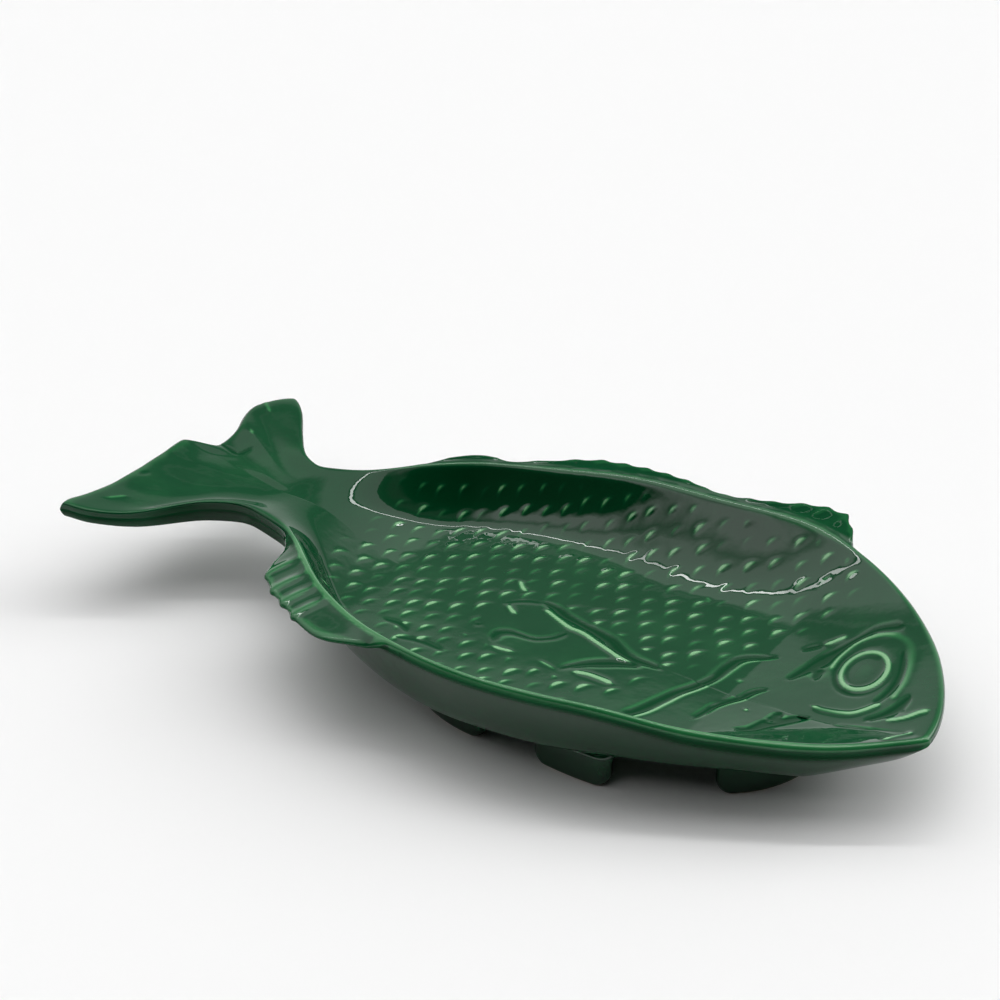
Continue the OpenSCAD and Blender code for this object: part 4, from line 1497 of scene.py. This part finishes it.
@dataclass
class Studio:
    """Floor, camera at the photograph's angle, and the room whose light the glaze mirrors.

    All light comes from the world. The room is a list of brightness by climb, the angle from the
    horizon behind the platter, 0, over the top, 90, to the one behind the camera, 180. A lamp
    strip hangs in it, dimmer at its left end. To either side lies a window wall, which is dim
    below its sill, and behind the camera a doorway leaves a bright gap in a dark wall. Places to
    the side are sines of the angle to the camera's right, those of the sill are sines of the
    angle upwards, and those of the walls' far ends are climbs as shares of the half turn.
    """

    azimuth: float = 34.19
    elevation: float = 30.90
    distance: float = 899.0
    aim: tuple[float, float, float] = (57.64, 45.36, 30.0)
    lens: float = 84.2
    sensor: float = 36.0
    clip_m: Span = (0.01, 50.0)
    floor_m: float = 8.0
    strength: float = 9.7
    lamp_at: float = 74.8
    lamp_half: float = 1.4
    lamp: float = 1.6
    lamp_dim: float = 0.5
    lamp_ends: Span = (-0.36, -0.24)
    window: float = 0.1
    bright_window: float = 0.38
    window_ends: Span = (-0.1, 0.1)
    left_ends: Span = (-0.5, -0.6)
    right_ends: Span = (0.6, 0.75)
    sill: float = 0.15
    sill_ends: Span = (0.22, 0.4)
    wall_ends: Span = (0.58, 0.53)
    door_from: float = 0.57
    door_at: float = 0.42
    door_ends: Span = (0.32, 0.12)
    door_wall: float = 0.1
    backdrop: float = 0.093
    room: Sequence[tuple[float, float]] = (
        (0.0, 0.12), (12.0, 0.10), (18.0, 0.075), (29.5, 0.06), (33.0, 0.03), (38.5, 0.028),
        (40.0, 0.055), (41.5, 0.035), (44.0, 0.045), (49.0, 0.12), (71.0, 0.15), (72.0, 0.02),
        (73.0, 0.02), (73.7, 0.3), (75.9, 0.3), (76.6, 0.02), (77.8, 0.02), (79.0, 0.16),
        (102.0, 0.15), (109.0, 0.07), (116.0, 0.16), (123.0, 0.16), (129.0, 0.002),
        (180.0, 0.002))

    def build(self, origin: np.ndarray) -> None:
        """Sets up the studio.

        Args:
            origin: Place of the platter's own origin in the frame, in metres.
        """
        self.add_camera(origin)
        self.add_floor()
        self.add_room()

    def add_camera(self, origin: np.ndarray) -> None:
        """Places the camera on its direction from the aim, at the platter's origin plus the aim."""
        a, e = math.radians(self.azimuth), math.radians(self.elevation)
        back = Vector((math.sin(a) * math.cos(e), -math.cos(a) * math.cos(e), math.sin(e)))
        camera = bpy.data.cameras.new("camera")
        camera.lens = self.lens
        camera.sensor_width = self.sensor
        camera.clip_start, camera.clip_end = self.clip_m
        obj = bpy.data.objects.new("camera", camera)
        aim = Vector((np.array(self.aim) * MM + origin).tolist())
        obj.location = aim + back * (self.distance * MM)
        obj.rotation_euler = (-back).to_track_quat("-Z", "Y").to_euler()
        bpy.context.scene.collection.objects.link(obj)
        bpy.context.scene.camera = obj

    def add_floor(self) -> None:
        """Lays the paper sweep under the platter."""
        h = self.floor_m / 2
        corners = np.array([(-h, -h, 0), (h, -h, 0), (h, h, 0), (-h, h, 0)])
        floor = add_mesh("floor", corners, [(0, 1, 2, 3)])
        floor.data.materials.append(PaleSweep().material())

    def add_room(self) -> None:
        """Sets the room's light as the world, with a plain backdrop where the camera sees it."""
        world = bpy.data.worlds.new("studio")
        world.use_nodes = True
        tree = world.node_tree
        a = math.radians(self.azimuth)
        way = add_node(tree, "ShaderNodeTexCoord").outputs["Generated"]
        back = add_node(tree, "ShaderNodeVectorMath", {"operation": "DOT_PRODUCT"},
                        in0=way, in1=(-math.sin(a), math.cos(a), 0.0))
        aside = add_node(tree, "ShaderNodeVectorMath", {"operation": "DOT_PRODUCT"},
                         in0=way, in1=(math.cos(a), math.sin(a), 0.0)).outputs["Value"]
        up = add_node(tree, "ShaderNodeSeparateXYZ", Vector=way).outputs["Z"]
        climb = add_node(tree, "ShaderNodeMath", {"operation": "ARCTAN2"},
                         in0=up, in1=back.outputs["Value"])
        share = add_node(tree, "ShaderNodeMath", {"operation": "DIVIDE"},
                         in0=climb.outputs["Value"], in1=math.pi).outputs["Value"]
        sides = add_node(tree, "ShaderNodeMix", in0=self.beside(tree, share, aside),
                         in2=self.ahead(tree, share, aside), in3=self.windows(tree, aside, up))
        total = add_node(tree, "ShaderNodeMath", {"operation": "MULTIPLY"},
                         in0=sides.outputs["Result"], in1=self.doorway(tree, share, aside))
        path = add_node(tree, "ShaderNodeLightPath")
        seen = add_node(tree, "ShaderNodeMix", in0=path.outputs["Is Camera Ray"],
                        in2=total.outputs["Value"], in3=self.backdrop)
        background = tree.nodes["Background"]
        tree.links.new(seen.outputs["Result"], background.inputs["Color"])
        background.inputs["Strength"].default_value = self.strength
        bpy.context.scene.world = world
        bpy.context.scene.view_settings.view_transform = "Standard"

    def ahead(self, tree: Tree, share: Socket, aside: Socket) -> Socket:
        """Adds the light between the side walls: the room by climb, with the lamp strip.

        Args:
            tree: The world's node tree.
            share: Climb as a share of the half turn.
            aside: Sine of the angle to the camera's right.

        Returns:
            The socket with the brightness.
        """
        ramp = add_node(tree, "ShaderNodeValToRGB", Fac=share)
        stops = ramp.color_ramp.elements
        first, *middle, last = self.room
        for stop, (angle, level) in zip(stops, (first, last)):
            stop.position, stop.color = angle / HALF_TURN, grey(level)
        for angle, level in middle:
            stops.new(angle / HALF_TURN).color = grey(level)
        strip = add_node(tree, "ShaderNodeMath", {"operation": "COMPARE"}, in0=share,
                         in1=self.lamp_at / HALF_TURN, in2=self.lamp_half / HALF_TURN)
        start = add_node(tree, "ShaderNodeMapRange", Value=aside,
                         **between(self.lamp_ends, self.lamp_dim * self.lamp, self.lamp))
        lit = add_node(tree, "ShaderNodeMath", {"operation": "MULTIPLY"},
                       in0=strip.outputs["Value"], in1=start.outputs["Result"])
        level = add_node(tree, "ShaderNodeMath", {"operation": "MAXIMUM"},
                         in0=ramp.outputs["Color"], in1=lit.outputs["Value"])
        return level.outputs["Value"]

    def beside(self, tree: Tree, share: Socket, aside: Socket) -> Socket:
        """Returns a socket with 1 on the window walls and 0 between and behind them."""
        left = add_node(tree, "ShaderNodeMapRange", Value=aside, **between(self.left_ends))
        right = add_node(tree, "ShaderNodeMapRange", Value=aside, **between(self.right_ends))
        either = add_node(tree, "ShaderNodeMath", {"operation": "MAXIMUM"},
                          in0=left.outputs["Result"], in1=right.outputs["Result"])
        far = add_node(tree, "ShaderNodeMapRange", Value=share, **between(self.wall_ends))
        wall = add_node(tree, "ShaderNodeMath", {"operation": "MULTIPLY"},
                        in0=either.outputs["Value"], in1=far.outputs["Result"])
        return wall.outputs["Value"]

    def windows(self, tree: Tree, aside: Socket, up: Socket) -> Socket:
        """Returns a socket with the window walls' brightness, the right one's brighter."""
        pane = add_node(tree, "ShaderNodeMapRange", Value=aside,
                        **between(self.window_ends, self.window, self.bright_window))
        over = add_node(tree, "ShaderNodeMapRange", Value=up, **between(self.sill_ends, self.sill))
        window = add_node(tree, "ShaderNodeMath", {"operation": "MULTIPLY"},
                          in0=pane.outputs["Result"], in1=over.outputs["Result"])
        return window.outputs["Value"]

    def doorway(self, tree: Tree, share: Socket, aside: Socket) -> Socket:
        """Returns a socket with the share of light left, which the wall round the doorway dims."""
        offset = add_node(tree, "ShaderNodeMath", {"operation": "ADD"}, in0=aside, in1=self.door_at)
        past = add_node(tree, "ShaderNodeMath", {"operation": "ABSOLUTE"}, in0=offset.outputs["Value"])
        gap = add_node(tree, "ShaderNodeMapRange", Value=past.outputs["Value"],
                       **between(self.door_ends, self.door_wall))
        behind = add_node(tree, "ShaderNodeMath", {"operation": "GREATER_THAN"},
                          in0=share, in1=self.door_from)
        dimmed = add_node(tree, "ShaderNodeMix", in0=behind.outputs["Value"], in2=1.0,
                          in3=gap.outputs["Result"])
        return dimmed.outputs["Result"]


def dress(obj: bpy.types.Object, node: str, material: bpy.types.Material) -> None:
    """Gives a piece its glaze and ties it to the frame.

    Args:
        obj: The piece.
        node: CAD node that it stands for.
        material: Its glaze.
    """
    obj.data.materials.append(material)
    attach(obj, "root")
    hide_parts(node)
    LOG.info("%s: %d points", obj.name, len(obj.data.vertices))


DORSAL_FIN = Fin(
    Part.DORSAL, Side.BACK, 5, 39, reach=12.5, rise=3.0, ray_w=0.5, ray_h=0.5, corner=0.897,
    rays=tuple(np.arange(14.0, 38.5, 1.8)),
    shares=(0.08, 0.42, 0.15, 0.34, 0.64, 0.58, 0.45, 0.33, 0.19, 0.20, 0.42, 0.86, 1.00))

ANAL_FIN = Fin(
    Part.ANAL, Side.BELLY, 3, 17, reach=16.0, rise=-2.0, ray_w=0.36, ray_h=0.8, fade=0.08,
    rays=(5.3, 7.0, 8.5, 10.0), sweep=9.0,
    shares=(0.12, 0.82, 0.92, 0.86, 0.89, 0.80, 0.38, 0.05))


def main() -> None:
    """Builds the platter piece by piece, and the studio round it."""
    logging.basicConfig(level=logging.INFO, format="%(message)s")
    foot_ring = FootRing()
    origin = foot_ring.origin()
    glaze = GreenGlaze().material()
    # The feet's glaze is darker than the dish's: painted shade under the platter.
    foot_glaze = GreenGlaze(name="foot_glaze", full="#06301a", wiped_foot=True).material()
    skin = Skin(Body(), Tail(), (DORSAL_FIN, ANAL_FIN), PectoralFin(), Scales(), Eye(),
                Unevenness(), GlazeLay())
    skin.build()
    for part in Part:
        dress(skin.piece(part, origin), part.value, glaze)
    for foot in foot_ring.arcs():
        dress(foot.build(origin), foot.node, foot_glaze)
    Studio().build(origin)


if __name__ == "__main__":
    main()
